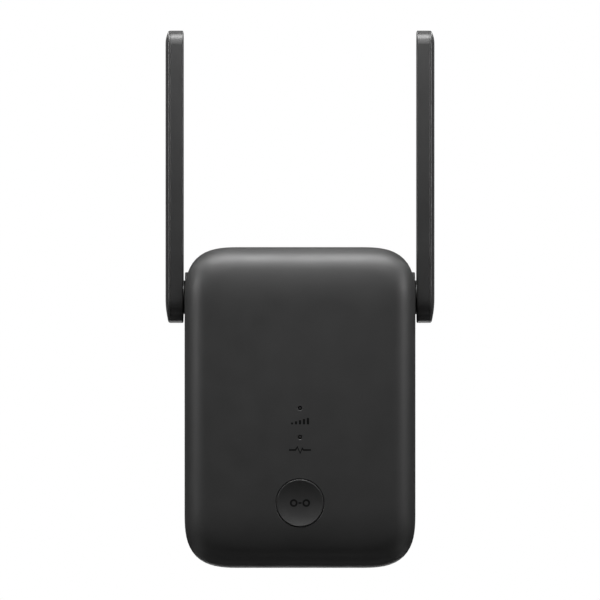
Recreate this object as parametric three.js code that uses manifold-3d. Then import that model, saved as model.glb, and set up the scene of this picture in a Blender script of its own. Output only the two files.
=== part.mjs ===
// Wall-plug wifi range extender with two folding paddle antennas.
// Millimetres. +X to the viewer's right, +Y towards the wall, +Z up.
// The origin is the centre of the plug's engagement face, between the two pins.
import * as THREE from "three";
import { mergeVertices } from "three/addons/utils/BufferGeometryUtils.js";
import Module from "manifold-3d";

const wasm = await Module();
wasm.setup();

// ---------------------------------------------------------------- dimensions
const BODY_W = 76.0; // housing width
const BODY_H = 105.6; // housing height
const BODY_TOP = 40.8; // top of the housing above the plug's axis
const BODY_MID = BODY_TOP - BODY_H / 2;
const FRONT_Y = -52.0; // front face
const PART_Y = -40.0; // parting plane between the two covers
const PART_GAP = 0.05;
const REAR_Y = -18.0; // rear face, which comes against the wall plate
const CORNER = 18.5; // length of a corner curve, seen from the front
const CORNER_POWER = 3; // its superellipse exponent
const CORNER_IN = 0.62; // how fast the corners tighten over the rolled front edge
const ROLL_R = 9.3; // radius of the rolled front edge
const RUNOUT_AT = 0.25; // sine of the tilt at which it starts to run out into the flat front
const RUNOUT = 9.5; // length of that run-out
const REAR_ROLL = 3.0;
const WALL = 2.0;
const FRONT_WALL = 2.2;

const HINGE_Y = -30.0; // antenna pivot axis
const HINGE_Z = 24.3;
const BOSS_R = 8.3; // round pad on the side of the housing
const BOSS_X = 38.02; // its outer face
const DISC_R = 5.6; // raised disc on the antenna that bears on the pad
const BUSH_R = 3.8; // running bore
const SHAFT_R = 3.7; // pivot, a running fit in its bush

const BLADE_IN = 38.6; // inner face of an antenna, from the middle plane
const BLADE_EDGE = 42.72; // where its flat edge ends and the domed cover begins
const BLADE_OUT = 44.5; // crown of the dome
const BLADE_W = 17.0;
const BLADE_TOP = 112.4;
const BLADE_CORNER = 4.8;
const BLADE_ROUND = 2.4; // fullness of its round end, at the pivot

const BUTTON_Z = -43.15;
const BUTTON_HOLE_R = 7.97;
const BUTTON_R = 7.76;
const LED_Z = [-12.1, -21.6];

const PIN_X = 9.3; // half of the pin pitch
const PIN_R = 2.0;
const PIN_LONG = 19.0;

const BOARD_FRONT = -39.2; // main board
const BOARD_REAR = -38.0;
const POWER_FRONT = -24.8; // power board
const POWER_REAR = -23.2;
const SEAT = 0.05; // gap left where one piece stands on another

const SCREWS = [
  [-20, 33],
  [20, 33],
  [-29, -55],
  [29, -55],
];
const JACK_X = 8.0; // half width of the ethernet jack
const JACK_Y0 = -37.95;
const JACK_Y1 = -24.6;
const JACK_Z0 = -64.6;
const RESET_X = 14.5;

// ------------------------------------------------------------------- finish
const finish = {
  shell: { color: 0x303030, roughness: 0.5, metalness: 0 },
  dark: { color: 0x1c1c1c, roughness: 0.55, metalness: 0 },
  black: { color: 0x141414, roughness: 0.5, metalness: 0 },
  nickel: { color: 0xc8c6c0, roughness: 0.25, metalness: 1 },
  steel: { color: 0xb5b7ba, roughness: 0.35, metalness: 1 },
  brass: { color: 0xb89a55, roughness: 0.35, metalness: 1 },
  alu: { color: 0xb9bbbd, roughness: 0.45, metalness: 1 },
  board: { color: 0x1f5a34, roughness: 0.45, metalness: 0 },
  clear: { color: 0xe6e6e0, roughness: 0.2, metalness: 0 },
  led: { color: 0xf2efe0, roughness: 0.35, metalness: 0 },
  ferrite: { color: 0x3a3a3c, roughness: 0.7, metalness: 0 },
  tape: { color: 0xd9b13a, roughness: 0.5, metalness: 0 },
  capacitor: { color: 0x24324f, roughness: 0.4, metalness: 0 },
  box: { color: 0xc9a53c, roughness: 0.5, metalness: 0 },
  acetal: { color: 0xd8d6cf, roughness: 0.45, metalness: 0 },
  pad: { color: 0x8f9aa6, roughness: 0.8, metalness: 0 },
  cable: { color: 0x3a3a3a, roughness: 0.5, metalness: 0 },
};

// ------------------------------------------------------------ solid helpers
const keep = (g) => {
  const flat = g.index ? g.toNonIndexed() : g;
  return new THREE.BufferGeometry().setAttribute(
    "position",
    flat.getAttribute("position").clone(),
  );
};

function solid(geometry, matrix) {
  const g = keep(geometry);
  if (matrix) g.applyMatrix4(matrix);
  const m = mergeVertices(g, 1e-4);
  const tri = new Uint32Array(m.index.array);
  const p = m.attributes.position.array;
  let six = 0;
  for (let i = 0; i < tri.length; i += 3) {
    const [a, b, c] = [tri[i] * 3, tri[i + 1] * 3, tri[i + 2] * 3];
    six +=
      p[a] * (p[b + 1] * p[c + 2] - p[b + 2] * p[c + 1]) -
      p[a + 1] * (p[b] * p[c + 2] - p[b + 2] * p[c]) +
      p[a + 2] * (p[b] * p[c + 1] - p[b + 1] * p[c]);
  }
  if (six < 0)
    for (let i = 0; i < tri.length; i += 3)
      [tri[i + 1], tri[i + 2]] = [tri[i + 2], tri[i + 1]];
  return new wasm.Manifold(
    new wasm.Mesh({ numProp: 3, vertProperties: new Float32Array(p), triVerts: tri }),
  );
}

function geometryOf(s) {
  const m = s.getMesh();
  const n = m.numProp;
  const v = new Float32Array(m.numVert * 3);
  for (let i = 0; i < m.numVert; i++)
    v.set(m.vertProperties.subarray(i * n, i * n + 3), i * 3);
  const g = new THREE.BufferGeometry()
    .setAttribute("position", new THREE.BufferAttribute(v, 3))
    .setIndex(new THREE.BufferAttribute(new Uint32Array(m.triVerts), 1));
  g.computeVertexNormals();
  return g;
}

const join = (...s) => s.reduce((a, b) => a.add(b));
const cut = (a, ...s) => s.reduce((x, b) => x.subtract(b), a);

const box = (x0, x1, y0, y1, z0, z1) =>
  solid(
    new THREE.BoxGeometry(x1 - x0, y1 - y0, z1 - z0),
    new THREE.Matrix4().makeTranslation((x0 + x1) / 2, (y0 + y1) / 2, (z0 + z1) / 2),
  );

const AXIS = {
  // local z of an extrusion goes along this axis of the part
  x: new THREE.Matrix4().makeBasis(
    new THREE.Vector3(0, 1, 0),
    new THREE.Vector3(0, 0, 1),
    new THREE.Vector3(1, 0, 0),
  ),
  y: new THREE.Matrix4().makeBasis(
    new THREE.Vector3(0, 0, 1),
    new THREE.Vector3(1, 0, 0),
    new THREE.Vector3(0, 1, 0),
  ),
  z: new THREE.Matrix4(),
};

// A prism of a closed outline, [u, v] pairs: u, v are y, z along x; z, x along y; x, y along z.
function prism(axis, outline, from, to, holes = []) {
  const contour = outline.map(([u, v]) => new THREE.Vector2(u, v));
  if (THREE.ShapeUtils.isClockWise(contour)) contour.reverse();
  const shape = new THREE.Shape(contour);
  for (const h of holes)
    shape.holes.push(new THREE.Path(h.map(([u, v]) => new THREE.Vector2(u, v))));
  const g = new THREE.ExtrudeGeometry(shape, { depth: to - from, bevelEnabled: false });
  const m = AXIS[axis]
    .clone()
    .multiply(new THREE.Matrix4().makeTranslation(0, 0, from));
  return solid(g, m);
}

const ring = (r, n, u = 0, v = 0, turn = 0) =>
  Array.from({ length: n }, (_, i) => {
    const a = ((i + turn) / n) * 2 * Math.PI;
    return [u + r * Math.cos(a), v + r * Math.sin(a)];
  });

// A round bar along an axis, at u, v across it.
const rod = (axis, r, from, to, u, v, n = 16) =>
  prism(axis, ring(r, n, u, v), from, to);

// A turned piece: points are [radius, height along the axis].
function turned(axis, points, n, u, v) {
  const g = new THREE.LatheGeometry(
    points.map(([r, h]) => new THREE.Vector2(r, h)),
    n,
  );
  // the lathe turns round its own y axis
  const up = new THREE.Matrix4().makeRotationX(Math.PI / 2);
  const m = AXIS[axis]
    .clone()
    .multiply(new THREE.Matrix4().makeTranslation(u, v, 0))
    .multiply(up);
  return solid(g, m);
}

// A skin through closed rings of equal count, closed by a fan at each end.
function loft(rings) {
  const n = rings[0].length;
  const pos = [];
  const idx = [];
  for (const r of rings) for (const p of r) pos.push(...p);
  for (let k = 0; k + 1 < rings.length; k++)
    for (let i = 0; i < n; i++) {
      const j = (i + 1) % n;
      const [a, b] = [k * n + i, k * n + j];
      idx.push(a, b, b + n, a, b + n, a + n);
    }
  for (const k of [0, rings.length - 1]) {
    const c = [0, 1, 2].map(
      (d) => rings[k].reduce((s, p) => s + p[d], 0) / n,
    );
    pos.push(...c);
    const m = pos.length / 3 - 1;
    for (let i = 0; i < n; i++) {
      const j = (i + 1) % n;
      if (k) idx.push(k * n + i, k * n + j, m);
      else idx.push(k * n + j, k * n + i, m);
    }
  }
  const g = new THREE.BufferGeometry()
    .setAttribute("position", new THREE.Float32BufferAttribute(pos, 3))
    .setIndex(idx);
  return solid(g);
}

const group = new THREE.Group();
function piece(name, s, look, parent = group) {
  const f = finish[look];
  const mesh = new THREE.Mesh(
    geometryOf(s),
    new THREE.MeshStandardMaterial({
      color: f.color,
      roughness: f.roughness,
      metalness: f.metalness,
    }),
  );
  mesh.name = name;
  parent.add(mesh);
  return mesh;
}

// ------------------------------------------------------------------ housing
// Outline of the housing as x, z pairs, set in by s, with superellipse corners.
const CORNER_STEPS = 6;
function outline(s, k = 1.0) {
  const hw = BODY_W / 2 - s;
  const hh = BODY_H / 2 - s;
  const a = Math.max(1.5, CORNER - k * s);
  const pts = [];
  for (const [sx, sz, flip] of [
    [1, 1, false],
    [-1, 1, true],
    [-1, -1, false],
    [1, -1, true],
  ])
    for (let i = 0; i <= CORNER_STEPS; i++) {
      const t = ((flip ? CORNER_STEPS - i : i) / CORNER_STEPS) * (Math.PI / 2);
      const c = Math.pow(Math.max(0, Math.cos(t)), 2 / CORNER_POWER);
      const d = Math.pow(Math.max(0, Math.sin(t)), 2 / CORNER_POWER);
      pts.push([sx * (hw - a + a * c), BODY_MID + sz * (hh - a + a * d)]);
    }
  return pts;
}
const ringAt = (y, s, k) => outline(s, k).map(([x, z]) => [x, y, z]);

// Inset and depth below the flat front of the rolled edge, from the front face outwards.
// Each point is where the surface has tilted by one of these angles.
const TILTS = [0, 3, 7, 12, 20, 30, 42, 55, 70, 90];
function edgeCurve(tilts, scale, runout) {
  const points = [];
  const fine = 24;
  let [inset, deep, from] = [0, 0, 90];
  for (const tilt of [...tilts].reverse()) {
    for (let k = 1; k <= fine; k++) {
      const angle = from + ((tilt - from) * k) / fine;
      const mid = angle - (tilt - from) / fine / 2;
      const s = Math.sin((angle * Math.PI) / 180);
      const next =
        ROLL_R * (1 - s) +
        (s < RUNOUT_AT ? runout * Math.pow((RUNOUT_AT - s) / RUNOUT_AT, 2) : 0);
      deep += Math.tan((mid * Math.PI) / 180) * (next - inset);
      inset = next;
      if (tilt === from) break;
    }
    from = tilt;
    points.push([inset * scale, deep * scale]);
  }
  return points.map(([u, v]) => [u, deep * scale - v]).reverse();
}

function rolled(front, part, wall, tilts) {
  // rings from the front face to the parting plane; the inside has no run-out
  const rings = edgeCurve(tilts, 1 - wall * 0.04, wall ? 0 : RUNOUT).map(([u, v]) =>
    ringAt(front + v, wall + u, CORNER_IN),
  );
  rings.push(ringAt(part, wall, CORNER_IN));
  return rings;
}

// The rear half, from the parting plane to the rear face.
function rearRings(wall, y0, y1) {
  const rings = [ringAt(y0, wall)];
  const steps = 3;
  const r = REAR_ROLL - wall * 0.6;
  for (let i = 0; i <= steps; i++) {
    const t = (i / steps) * (Math.PI / 2);
    rings.push(ringAt(y1 - r * (1 - Math.sin(t)), wall + r * (1 - Math.cos(t))));
  }
  return rings;
}

// Front cover: shell, lip that enters the rear cover, button collar, screw bosses.
{
  const skin = cut(
    loft(rolled(FRONT_Y, PART_Y, 0, TILTS)),
    loft(rolled(FRONT_Y + FRONT_WALL, PART_Y + 0.5, WALL, [0, 12, 25, 40, 60, 90])),
  );
  const lip = prism(
    "y",
    outline(WALL - 1.0 + 0.15).map(([x, z]) => [z, x]),
    PART_Y - 1.2,
    PART_Y + 1.2,
    [outline(WALL - 0.02).map(([x, z]) => [z, x])],
  );
  let cover = join(skin, lip);
  cover = join(
    cover,
    cut(
      rod("y", 10.4, FRONT_Y + FRONT_WALL - 0.3, -46.6, BUTTON_Z, 0, 24),
      rod("y", 9.2, FRONT_Y, -40, BUTTON_Z, 0, 24),
    ),
  );
  for (const [x, z] of SCREWS)
    cover = join(
      cover,
      rod("y", 3.1, z > 0 ? -49.9 : -49.0, BOARD_FRONT - 0.1, z, x, 12),
    );
  cover = cut(
    cover,
    rod("y", BUTTON_HOLE_R, FRONT_Y - 1, -46, BUTTON_Z, 0, 32),
    ...LED_Z.map((z) => rod("y", 0.8, FRONT_Y - 1, -46, z, 0, 12)),
    ...SCREWS.map(([x, z]) => rod("y", 1.45, -47.9, -38, z, x, 12)),
  );
  piece("front_cover", cover, "shell");
}

// Rear cover: shell, antenna bosses, screw tubes, board posts, openings and vents.
const VENT_TOP_X = [-16, -12.8, -9.6, -6.4, -3.2, 0, 3.2, 6.4, 9.6, 12.8, 16];
const VENT_SIDE_X = [11.2, 17.8];
{
  let cover = cut(
    loft(rearRings(0, PART_Y + PART_GAP, REAR_Y)),
    loft(rearRings(WALL, PART_Y - 0.5, REAR_Y - 2.2)),
    // rebate for the front cover's lip
    prism(
      "y",
      outline(WALL - 1.0).map(([x, z]) => [z, x]),
      PART_Y - 1,
      PART_Y + 1.4,
    ),
  );
  for (const s of [-1, 1])
    cover = join(
      cover,
      rod("x", BOSS_R, Math.min(s * 34.2, s * BOSS_X), Math.max(s * 34.2, s * BOSS_X), HINGE_Y, HINGE_Z, 32),
    );
  for (const [x, z] of SCREWS)
    cover = join(cover, rod("y", 4.0, -37.85, REAR_Y - 2, z, x, 16));
  for (const [x, z] of [
    [-23, -26],
    [23, -26],
  ])
    cover = join(cover, rod("y", 2.6, POWER_REAR + 0.05, REAR_Y - 2, z, x, 12));
  for (const s of [-1, 1])
    cover = cut(
      cover,
      rod("x", 4.95, Math.min(s * 33, s * 39), Math.max(s * 33, s * 39), HINGE_Y, HINGE_Z, 24),
    );
  for (const [x, z] of SCREWS)
    cover = cut(
      cover,
      rod("y", 2.9, -30, REAR_Y + 1, z, x, 16),
      rod("y", 1.5, -39, -29, z, x, 12),
    );
  for (const [x, z] of [
    [-23, -26],
    [23, -26],
  ])
    cover = cut(cover, rod("y", 1.25, -24, REAR_Y - 1.4, z, x, 10));
  // plug block, ethernet jack, reset hole
  cover = cut(
    cover,
    prism(
      "y",
      plugOutline(0.3).map(([x, z]) => [z, x]),
      -24,
      -10,
    ),
    box(-JACK_X - 0.3, JACK_X + 0.3, JACK_Y0 - 0.3, JACK_Y1 + 0.3, -70, -60),
    rod("z", 0.9, -70, -60, RESET_X, -36.2, 12),
  );
  // vent slots: top wall, bottom wall either side of the jack, rear face
  for (const x of VENT_TOP_X)
    cover = cut(cover, box(x - 0.8, x + 0.8, -34.5, -23, 36, 45));
  for (const x of [-19.4, -16.2, -13, 19.4])
    cover = cut(cover, box(x - 0.8, x + 0.8, -34.5, -23, -70, -60));
  for (const z of [22.5, 19.3, 16.1])
    for (const s of [-1, 1])
      cover = cut(
        cover,
        box(Math.min(s * 3, s * 24), Math.max(s * 3, s * 24), -22, -10, z - 0.8, z + 0.8),
      );
  piece("rear_cover", cover, "dark");
}

// ------------------------------------------------------------- mains plug
// Engagement face of a flat two-pin plug: 35.3 by 13.7 with cut corners.
function plugOutline(grow) {
  const [w, h, c] = [17.65 + grow, 6.85 + grow, 4.6];
  return [
    [w, -h + c],
    [w, h - c],
    [w - c * 0.35, h - c * 0.35],
    [w - c, h],
    [-w + c, h],
    [-w + c * 0.35, h - c * 0.35],
    [-w, h - c],
    [-w, -h + c],
    [-w + c * 0.35, -h + c * 0.35],
    [-w + c, -h],
    [w - c, -h],
    [w - c * 0.35, -h + c * 0.35],
  ];
}
{
  const zx = (o) => o.map(([x, z]) => [z, x]);
  const block = cut(
    join(
      prism("y", zx(plugOutline(0)), -23.0, 0),
      prism("y", zx(plugOutline(2.2)), -23.1, -20.3),
    ),
    prism("y", zx(plugOutline(-2.0)), -24, -3.2),
    ...[-1, 1].map((s) => rod("y", 2.1, -4, 1, 0, s * PIN_X, 16)),
  );
  piece("plug_block", block, "dark");
}
for (const [side, s] of [
  ["left", -1],
  ["right", 1],
]) {
  // pin: turned head inside the block, slim shank in the sleeve, bare contact end
  piece(
    side + "_plug_pin",
    turned(
      "y",
      [
        [0, -6.5],
        [2.6, -6.5],
        [2.6, -3.35],
        [1.4, -3.3],
        [1.4, 10.05],
        [PIN_R, 10.05],
        [PIN_R, PIN_LONG - 1.6],
        [1.5, PIN_LONG - 0.5],
        [0.8, PIN_LONG],
        [0, PIN_LONG],
      ],
      16,
      0,
      s * PIN_X,
    ),
    "nickel",
  );
  piece(
    side + "_pin_sleeve",
    turned(
      "y",
      [
        [1.5, -3.15],
        [1.95, -3.15],
        [1.95, 9.95],
        [1.5, 9.95],
        [1.5, -3.15],
      ],
      16,
      0,
      s * PIN_X,
    ),
    "black",
  );
  // leaf spring from the power board to the pin's head
  const x0 = 12.6;
  const strip = prism(
    "z",
    [
      [x0 - 3.2, -22.7],
      [x0 - 3.2, -23.15],
      [x0 + 0.5, -23.15],
      [x0 + 0.5, -9.5],
      [x0 - 0.1, -4.4],
      [x0 - 0.6, -4.45],
      [x0, -9.5],
      [x0, -22.7],
    ].map(([x, y]) => [s * x, y]),
    -2,
    2,
  );
  piece(side + "_contact_spring", strip, "brass");
}

// --------------------------------------------------------------- main board
{
  const [w, lo, hi, a] = [33, -62.2, 37, 13];
  const edge = [];
  for (const [sx, z, sz] of [
    [1, hi - a, 1],
    [-1, hi - a, 1],
    [-1, lo + a, -1],
    [1, lo + a, -1],
  ])
    for (let i = 0; i <= 5; i++) {
      const t = ((sx === sz ? i : 5 - i) / 5) * (Math.PI / 2);
      edge.push([z + sz * a * Math.sin(t), sx * (w - a + a * Math.cos(t))]);
    }
  let board = prism("y", edge, BOARD_FRONT, BOARD_REAR);
  board = cut(
    board,
    ...SCREWS.map(([x, z]) => rod("y", 1.7, -40, -37, z, x, 12)),
  );
  piece("main_board", board, "board");
}
const onFront = (x0, x1, h, z0, z1) =>
  box(x0, x1, BOARD_FRONT - SEAT - h, BOARD_FRONT - SEAT, z0, z1);
const onRear = (x0, x1, h, z0, z1) =>
  box(x0, x1, BOARD_REAR + SEAT, BOARD_REAR + SEAT + h, z0, z1);

piece("signal_led", onFront(-1, 1, 0.8, LED_Z[0] - 0.65, LED_Z[0] + 0.65), "led");
piece("system_led", onFront(-1, 1, 0.8, LED_Z[1] - 0.65, LED_Z[1] + 0.65), "led");
piece(
  "twin_light_guide",
  join(
    box(-1.5, 1.5, -49.75, -48.2, LED_Z[1] - 2.2, LED_Z[0] + 2.2),
    ...LED_Z.map((z) => rod("y", 0.65, -51.75, -49, z, 0, 10)),
    ...LED_Z.map((z) => rod("y", 1.2, -48.6, -40.15, z, 0, 10)),
  ),
  "clear",
);

// radio and processor cans with their heat spreader
const can = (x0, x1, z0, z1, h) =>
  cut(
    onFront(x0, x1, h, z0, z1),
    onFront(x0 + 0.3, x1 - 0.3, h - 0.3, z0 + 0.3, z1 - 0.3),
    box(x0 + 0.3, x1 - 0.3, BOARD_FRONT - 1, BOARD_FRONT, z0 + 0.3, z1 - 0.3),
  );
piece("radio_shield_can", can(-29, -5, 2, 27, 2.6), "steel");
piece("processor_shield_can", can(4, 28, 2, 27, 2.6), "steel");
piece("thermal_pad", box(-26, 25, -42.7, -41.9, 5, 24), "pad");
{
  let sink = box(-27, 27, -44.2, -42.75, 1, 28);
  for (let i = 0; i < 7; i++)
    sink = join(sink, box(-26 + i * 8.4, -24.4 + i * 8.4, -47.4, -44, 1, 28));
  piece("heat_spreader", sink, "alu");
}

// pairing button with its switch
piece(
  "wps_button",
  turned(
    "y",
    [
      [0, -51.2],
      [2.6, -51.3],
      [5.0, -51.59],
      [7.4, -52.0],
      [BUTTON_R, -51.75],
      [BUTTON_R, -49.6],
      [8.8, -49.6],
      [8.8, -48.8],
      [6.4, -48.8],
      [6.4, -50.1],
      [1.9, -50.0],
      [1.9, -44.05],
      [0, -44.05],
    ],
    28,
    BUTTON_Z,
    0,
  ),
  "shell",
);
piece(
  "wps_switch_body",
  cut(
    onFront(-3, 3, 3.5, BUTTON_Z - 3, BUTTON_Z + 3),
    rod("y", 1.95, -44, -41.2, BUTTON_Z, 0, 14),
  ),
  "black",
);
piece("wps_switch_plunger", rod("y", 1.65, -44.0, -41.8, BUTTON_Z, 0, 14), "acetal");

// reset switch behind the pinhole
piece(
  "reset_switch_body",
  cut(
    onRear(RESET_X - 3, RESET_X + 3, 3.5, -60.3, -56.5),
    box(RESET_X - 1.1, RESET_X + 1.1, -37.2, -35.2, -61, -58.6),
  ),
  "black",
);
piece(
  "reset_switch_plunger",
  box(RESET_X - 0.9, RESET_X + 0.9, -37.0, -35.4, -61.6, -59.0),
  "acetal",
);

// ethernet jack: metal shell, moulded insert, magnetics
{
  const shell = cut(
    box(-JACK_X, JACK_X, JACK_Y0, JACK_Y1, JACK_Z0, -43.5),
    box(-JACK_X + 0.4, JACK_X - 0.4, JACK_Y0 + 0.4, JACK_Y1 - 0.4, -70, -43.9),
  );
  piece("ethernet_jack_shell", shell, "steel");
  const insert = cut(
    box(-7.5, 7.5, JACK_Y0 + 0.5, JACK_Y1 - 0.5, JACK_Z0 + 0.1, -44.1),
    box(-5.9, 5.9, -36.3, -29.6, -70, -51.5),
    box(-3.15, 3.15, -30, -27.7, -70, -51.5),
    box(-1.7, 1.7, -28, -26.4, -70, -53),
  );
  piece("ethernet_jack_insert", insert, "black");
}
piece("line_transformer", onRear(-6.6, 6.6, 5, -41, -31.4), "black");
piece("board_link_header", box(-19.5, -9, -37.95, -24.85, -29.3, -26.8), "black");

// -------------------------------------------------------------- power board
{
  let board = box(-27, 27, POWER_FRONT, POWER_REAR, -32, 26.5);
  board = cut(
    board,
    ...[-1, 1].map((s) => rod("y", 1.5, -26, -22, -26, s * 23, 12)),
  );
  piece("power_board", board, "board");
}
const P = POWER_FRONT - SEAT;
piece(
  "transformer_core",
  cut(box(-4, 13, P - 8.2, P - 3.2, -12, 2), box(-1.6, 10.6, P - 9, P - 2, -9.4, -0.6)),
  "ferrite",
);
piece(
  "transformer_winding",
  join(
    box(-1.3, 10.3, P - 11.6, P - 1.5, -9.1, -0.9),
    box(-3.6, 12.6, P - 1.6, P, -11.4, 1.4),
  ),
  "tape",
);
piece("bulk_capacitor", rod("y", 5, P - 12, P, 9, -19.5, 16), "capacitor");
piece("output_capacitor", rod("y", 3.15, P - 11, P, -18, 8, 14), "capacitor");
piece("mains_fuse", rod("x", 1.9, -12, -2.6, P - 2.1, 20.5, 10), "acetal");
piece("bridge_rectifier", box(-12, -7.2, P - 2.6, P, 10, 16.6), "black");
piece("x_capacitor", box(1.5, 13, P - 9.5, P, 16, 21.2), "box");
piece("line_choke", rod("y", 3.9, P - 9.2, P, 14, 21.5, 12), "black");

// ---------------------------------------------------------------- fasteners
const screw = (x, z, head, tip, headR, shankR, headH) =>
  turned(
    "y",
    [
      [0, head + headH],
      [headR * 0.7, head + headH],
      [headR, head + headH * 0.45],
      [headR, head],
      [shankR, head],
      [shankR, tip + 0.8],
      [shankR * 0.35, tip],
      [0, tip],
    ],
    12,
    z,
    x,
  );
[
  ["top_left_case_screw", 0],
  ["top_right_case_screw", 1],
  ["bottom_left_case_screw", 2],
  ["bottom_right_case_screw", 3],
].forEach(([name, i]) =>
  piece(name, screw(SCREWS[i][0], SCREWS[i][1], -29.95, -47.0, 2.5, 1.2, 1.8), "steel"),
);
// The power board's screws come from the front, so they are turned round.
for (const [name, x] of [
  ["left_board_screw", -23],
  ["right_board_screw", 23],
])
  piece(
    name,
    turned(
      "y",
      [
        [0, P - 1.4],
        [1.5, P - 1.4],
        [2.1, P - 0.6],
        [2.1, P],
        [1.0, P],
        [1.0, -20.6],
        [0, -20.2],
      ],
      10,
      -26,
      x,
    ),
    "steel",
  );

// ----------------------------------------------------------------- antennas
// Outline of a paddle as y, z pairs: a full round at the pivot, small corners at the tip.
function paddle(s, top = s, n = 10, c = 3) {
  const r = BLADE_W / 2 - s;
  const corner = Math.max(0.3, Math.min(BLADE_CORNER - s * 0.7, r - 0.05));
  const t = BLADE_TOP - top;
  const pts = [];
  for (let i = 0; i <= n; i++) {
    const a = Math.PI + (i / n) * Math.PI;
    const [u, v] = [Math.cos(a), Math.sin(a)];
    const q = Math.pow(
      Math.pow(Math.abs(u), BLADE_ROUND) + Math.pow(Math.abs(v), BLADE_ROUND),
      -1 / BLADE_ROUND,
    );
    pts.push([HINGE_Y + r * u * q, HINGE_Z + r * v * q]);
  }
  for (let i = 0; i <= c; i++) {
    const a = (i / c) * (Math.PI / 2);
    pts.push([HINGE_Y + r - corner + corner * Math.cos(a), t - corner + corner * Math.sin(a)]);
  }
  for (let i = 0; i <= c; i++) {
    const a = Math.PI / 2 + (i / c) * (Math.PI / 2);
    pts.push([HINGE_Y - r + corner + corner * Math.cos(a), t - corner + corner * Math.sin(a)]);
  }
  return pts;
}

function tube(points, r, steps, sides = 8) {
  const shape = new THREE.Shape(
    ring(r, sides).map(([u, v]) => new THREE.Vector2(u, v)),
  );
  const path = new THREE.CatmullRomCurve3(
    points.map((p) => new THREE.Vector3(...p)),
    false,
    "centripetal",
  );
  return solid(
    new THREE.ExtrudeGeometry(shape, { steps, extrudePath: path, bevelEnabled: false }),
  );
}

for (const [side, s] of [
  ["left", -1],
  ["right", 1],
]) {
  // made for the right side, and mirrored for the left
  const place = (m) =>
    s > 0 ? m : m.mirror([1, 0, 0]);
  const put = (name, m, look) => piece(side + "_" + name, place(m), look);

  // tray: flat inner face, walls, raised disc that bears on the housing
  put(
    "antenna_tray",
    cut(
      join(
        prism("x", paddle(0), BLADE_IN, BLADE_EDGE - 0.06),
        rod("x", DISC_R, BLADE_IN - 0.46, BLADE_IN + 0.5, HINGE_Y, HINGE_Z, 24),
      ),
      prism("x", paddle(1.5), BLADE_IN + 1.13, BLADE_EDGE + 1),
      rod("x", 3.9, BLADE_IN - 2, BLADE_EDGE, HINGE_Y, HINGE_Z, 24),
    ),
    "shell",
  );
  // domed cover with a rim that drops into the tray
  const rings = [0, 0.35, 1.4, 3.0, 5.2, 7.9].map((d, i) => {
    const x =
      i === 0
        ? BLADE_EDGE
        : BLADE_OUT - 1.6 * Math.pow(Math.max(0, 1 - (d + 0.25) / 8.15), 2);
    return paddle(d, d * 0.5).map(([y, z]) => [x, y, z]);
  });
  put(
    "antenna_cover",
    join(
      loft(rings),
      prism("x", paddle(1.7), BLADE_EDGE - 0.8, BLADE_EDGE + 0.1, [paddle(2.6)]),
    ),
    "shell",
  );
  // radiator board and its feed inside the paddle
  put(
    "antenna_radiator",
    box(40.9, 41.7, HINGE_Y - 4.5, HINGE_Y + 4.5, 36, 106),
    "board",
  );
  put(
    "antenna_feed",
    tube(
      [
        [37.2, HINGE_Y, HINGE_Z],
        [39.9, HINGE_Y, HINGE_Z],
        [41.1, HINGE_Y, HINGE_Z + 1.0],
        [41.3, HINGE_Y, HINGE_Z + 3],
        [41.3, HINGE_Y, 35.8],
      ],
      0.5,
      10,
      6,
    ),
    "cable",
  );
  // hollow pivot, welded into the tray, with a groove for the retaining ring
  put(
    "antenna_pivot",
    turned(
      "x",
      [
        [1.5, 40.3],
        [5.2, 40.3],
        [5.2, 39.8],
        [SHAFT_R, 39.8],
        [SHAFT_R, 32.4],
        [2.9, 32.4],
        [2.9, 31.4],
        [SHAFT_R, 31.4],
        [SHAFT_R, 30.4],
        [1.5, 30.4],
        [1.5, 40.3],
      ],
      24,
      HINGE_Y,
      HINGE_Z,
    ),
    "acetal",
  );
  put(
    "hinge_bush",
    turned(
      "x",
      [
        [BUSH_R, 37.7],
        [4.85, 37.7],
        [4.85, 34.1],
        [6.2, 34.1],
        [6.2, 33.3],
        [BUSH_R, 33.3],
        [BUSH_R, 37.7],
      ],
      24,
      HINGE_Y,
      HINGE_Z,
    ),
    "acetal",
  );
  put(
    "friction_washer",
    turned(
      "x",
      [
        [3.95, 32.6],
        [6.0, 32.6],
        [6.0, 33.2],
        [3.95, 33.2],
        [3.95, 32.6],
      ],
      20,
      HINGE_Y,
      HINGE_Z,
    ),
    "steel",
  );
  // open retaining ring in the pivot's groove
  put(
    "retaining_ring",
    cut(
      turned(
        "x",
        [
          [3.05, 31.6],
          [5.2, 31.6],
          [5.2, 32.25],
          [3.05, 32.25],
          [3.05, 31.6],
        ],
        20,
        HINGE_Y,
        HINGE_Z,
      ),
      box(31, 33, HINGE_Y - 1.6, HINGE_Y + 1.6, HINGE_Z - 7, HINGE_Z),
    ),
    "steel",
  );
  // coaxial lead from the pivot's bore to the main board
  put(
    "coax_lead",
    tube(
      [
        [36.8, HINGE_Y, HINGE_Z],
        [30.5, HINGE_Y, HINGE_Z],
        [28.6, HINGE_Y - 0.6, HINGE_Z - 0.6],
        [27.4, HINGE_Y - 3.6, HINGE_Z - 3],
        [26.0, BOARD_REAR + 0.85, HINGE_Z - 7],
        [22.0, BOARD_REAR + 0.85, HINGE_Z - 9],
      ],
      0.57,
      16,
      8,
    ),
    "cable",
  );
}

export default group;
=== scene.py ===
"""Looks of the wifi range extender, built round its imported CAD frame.

Meshes are worked out in millimetres in the part's own frame (+X right, +Y into the wall, +Z up,
origin at the centre of the plug's engagement face) and scaled to metres as the last step.
"""

import math
import random

import bmesh
import bpy
from mathutils import Matrix, Vector
from mathutils.bvhtree import BVHTree


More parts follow.
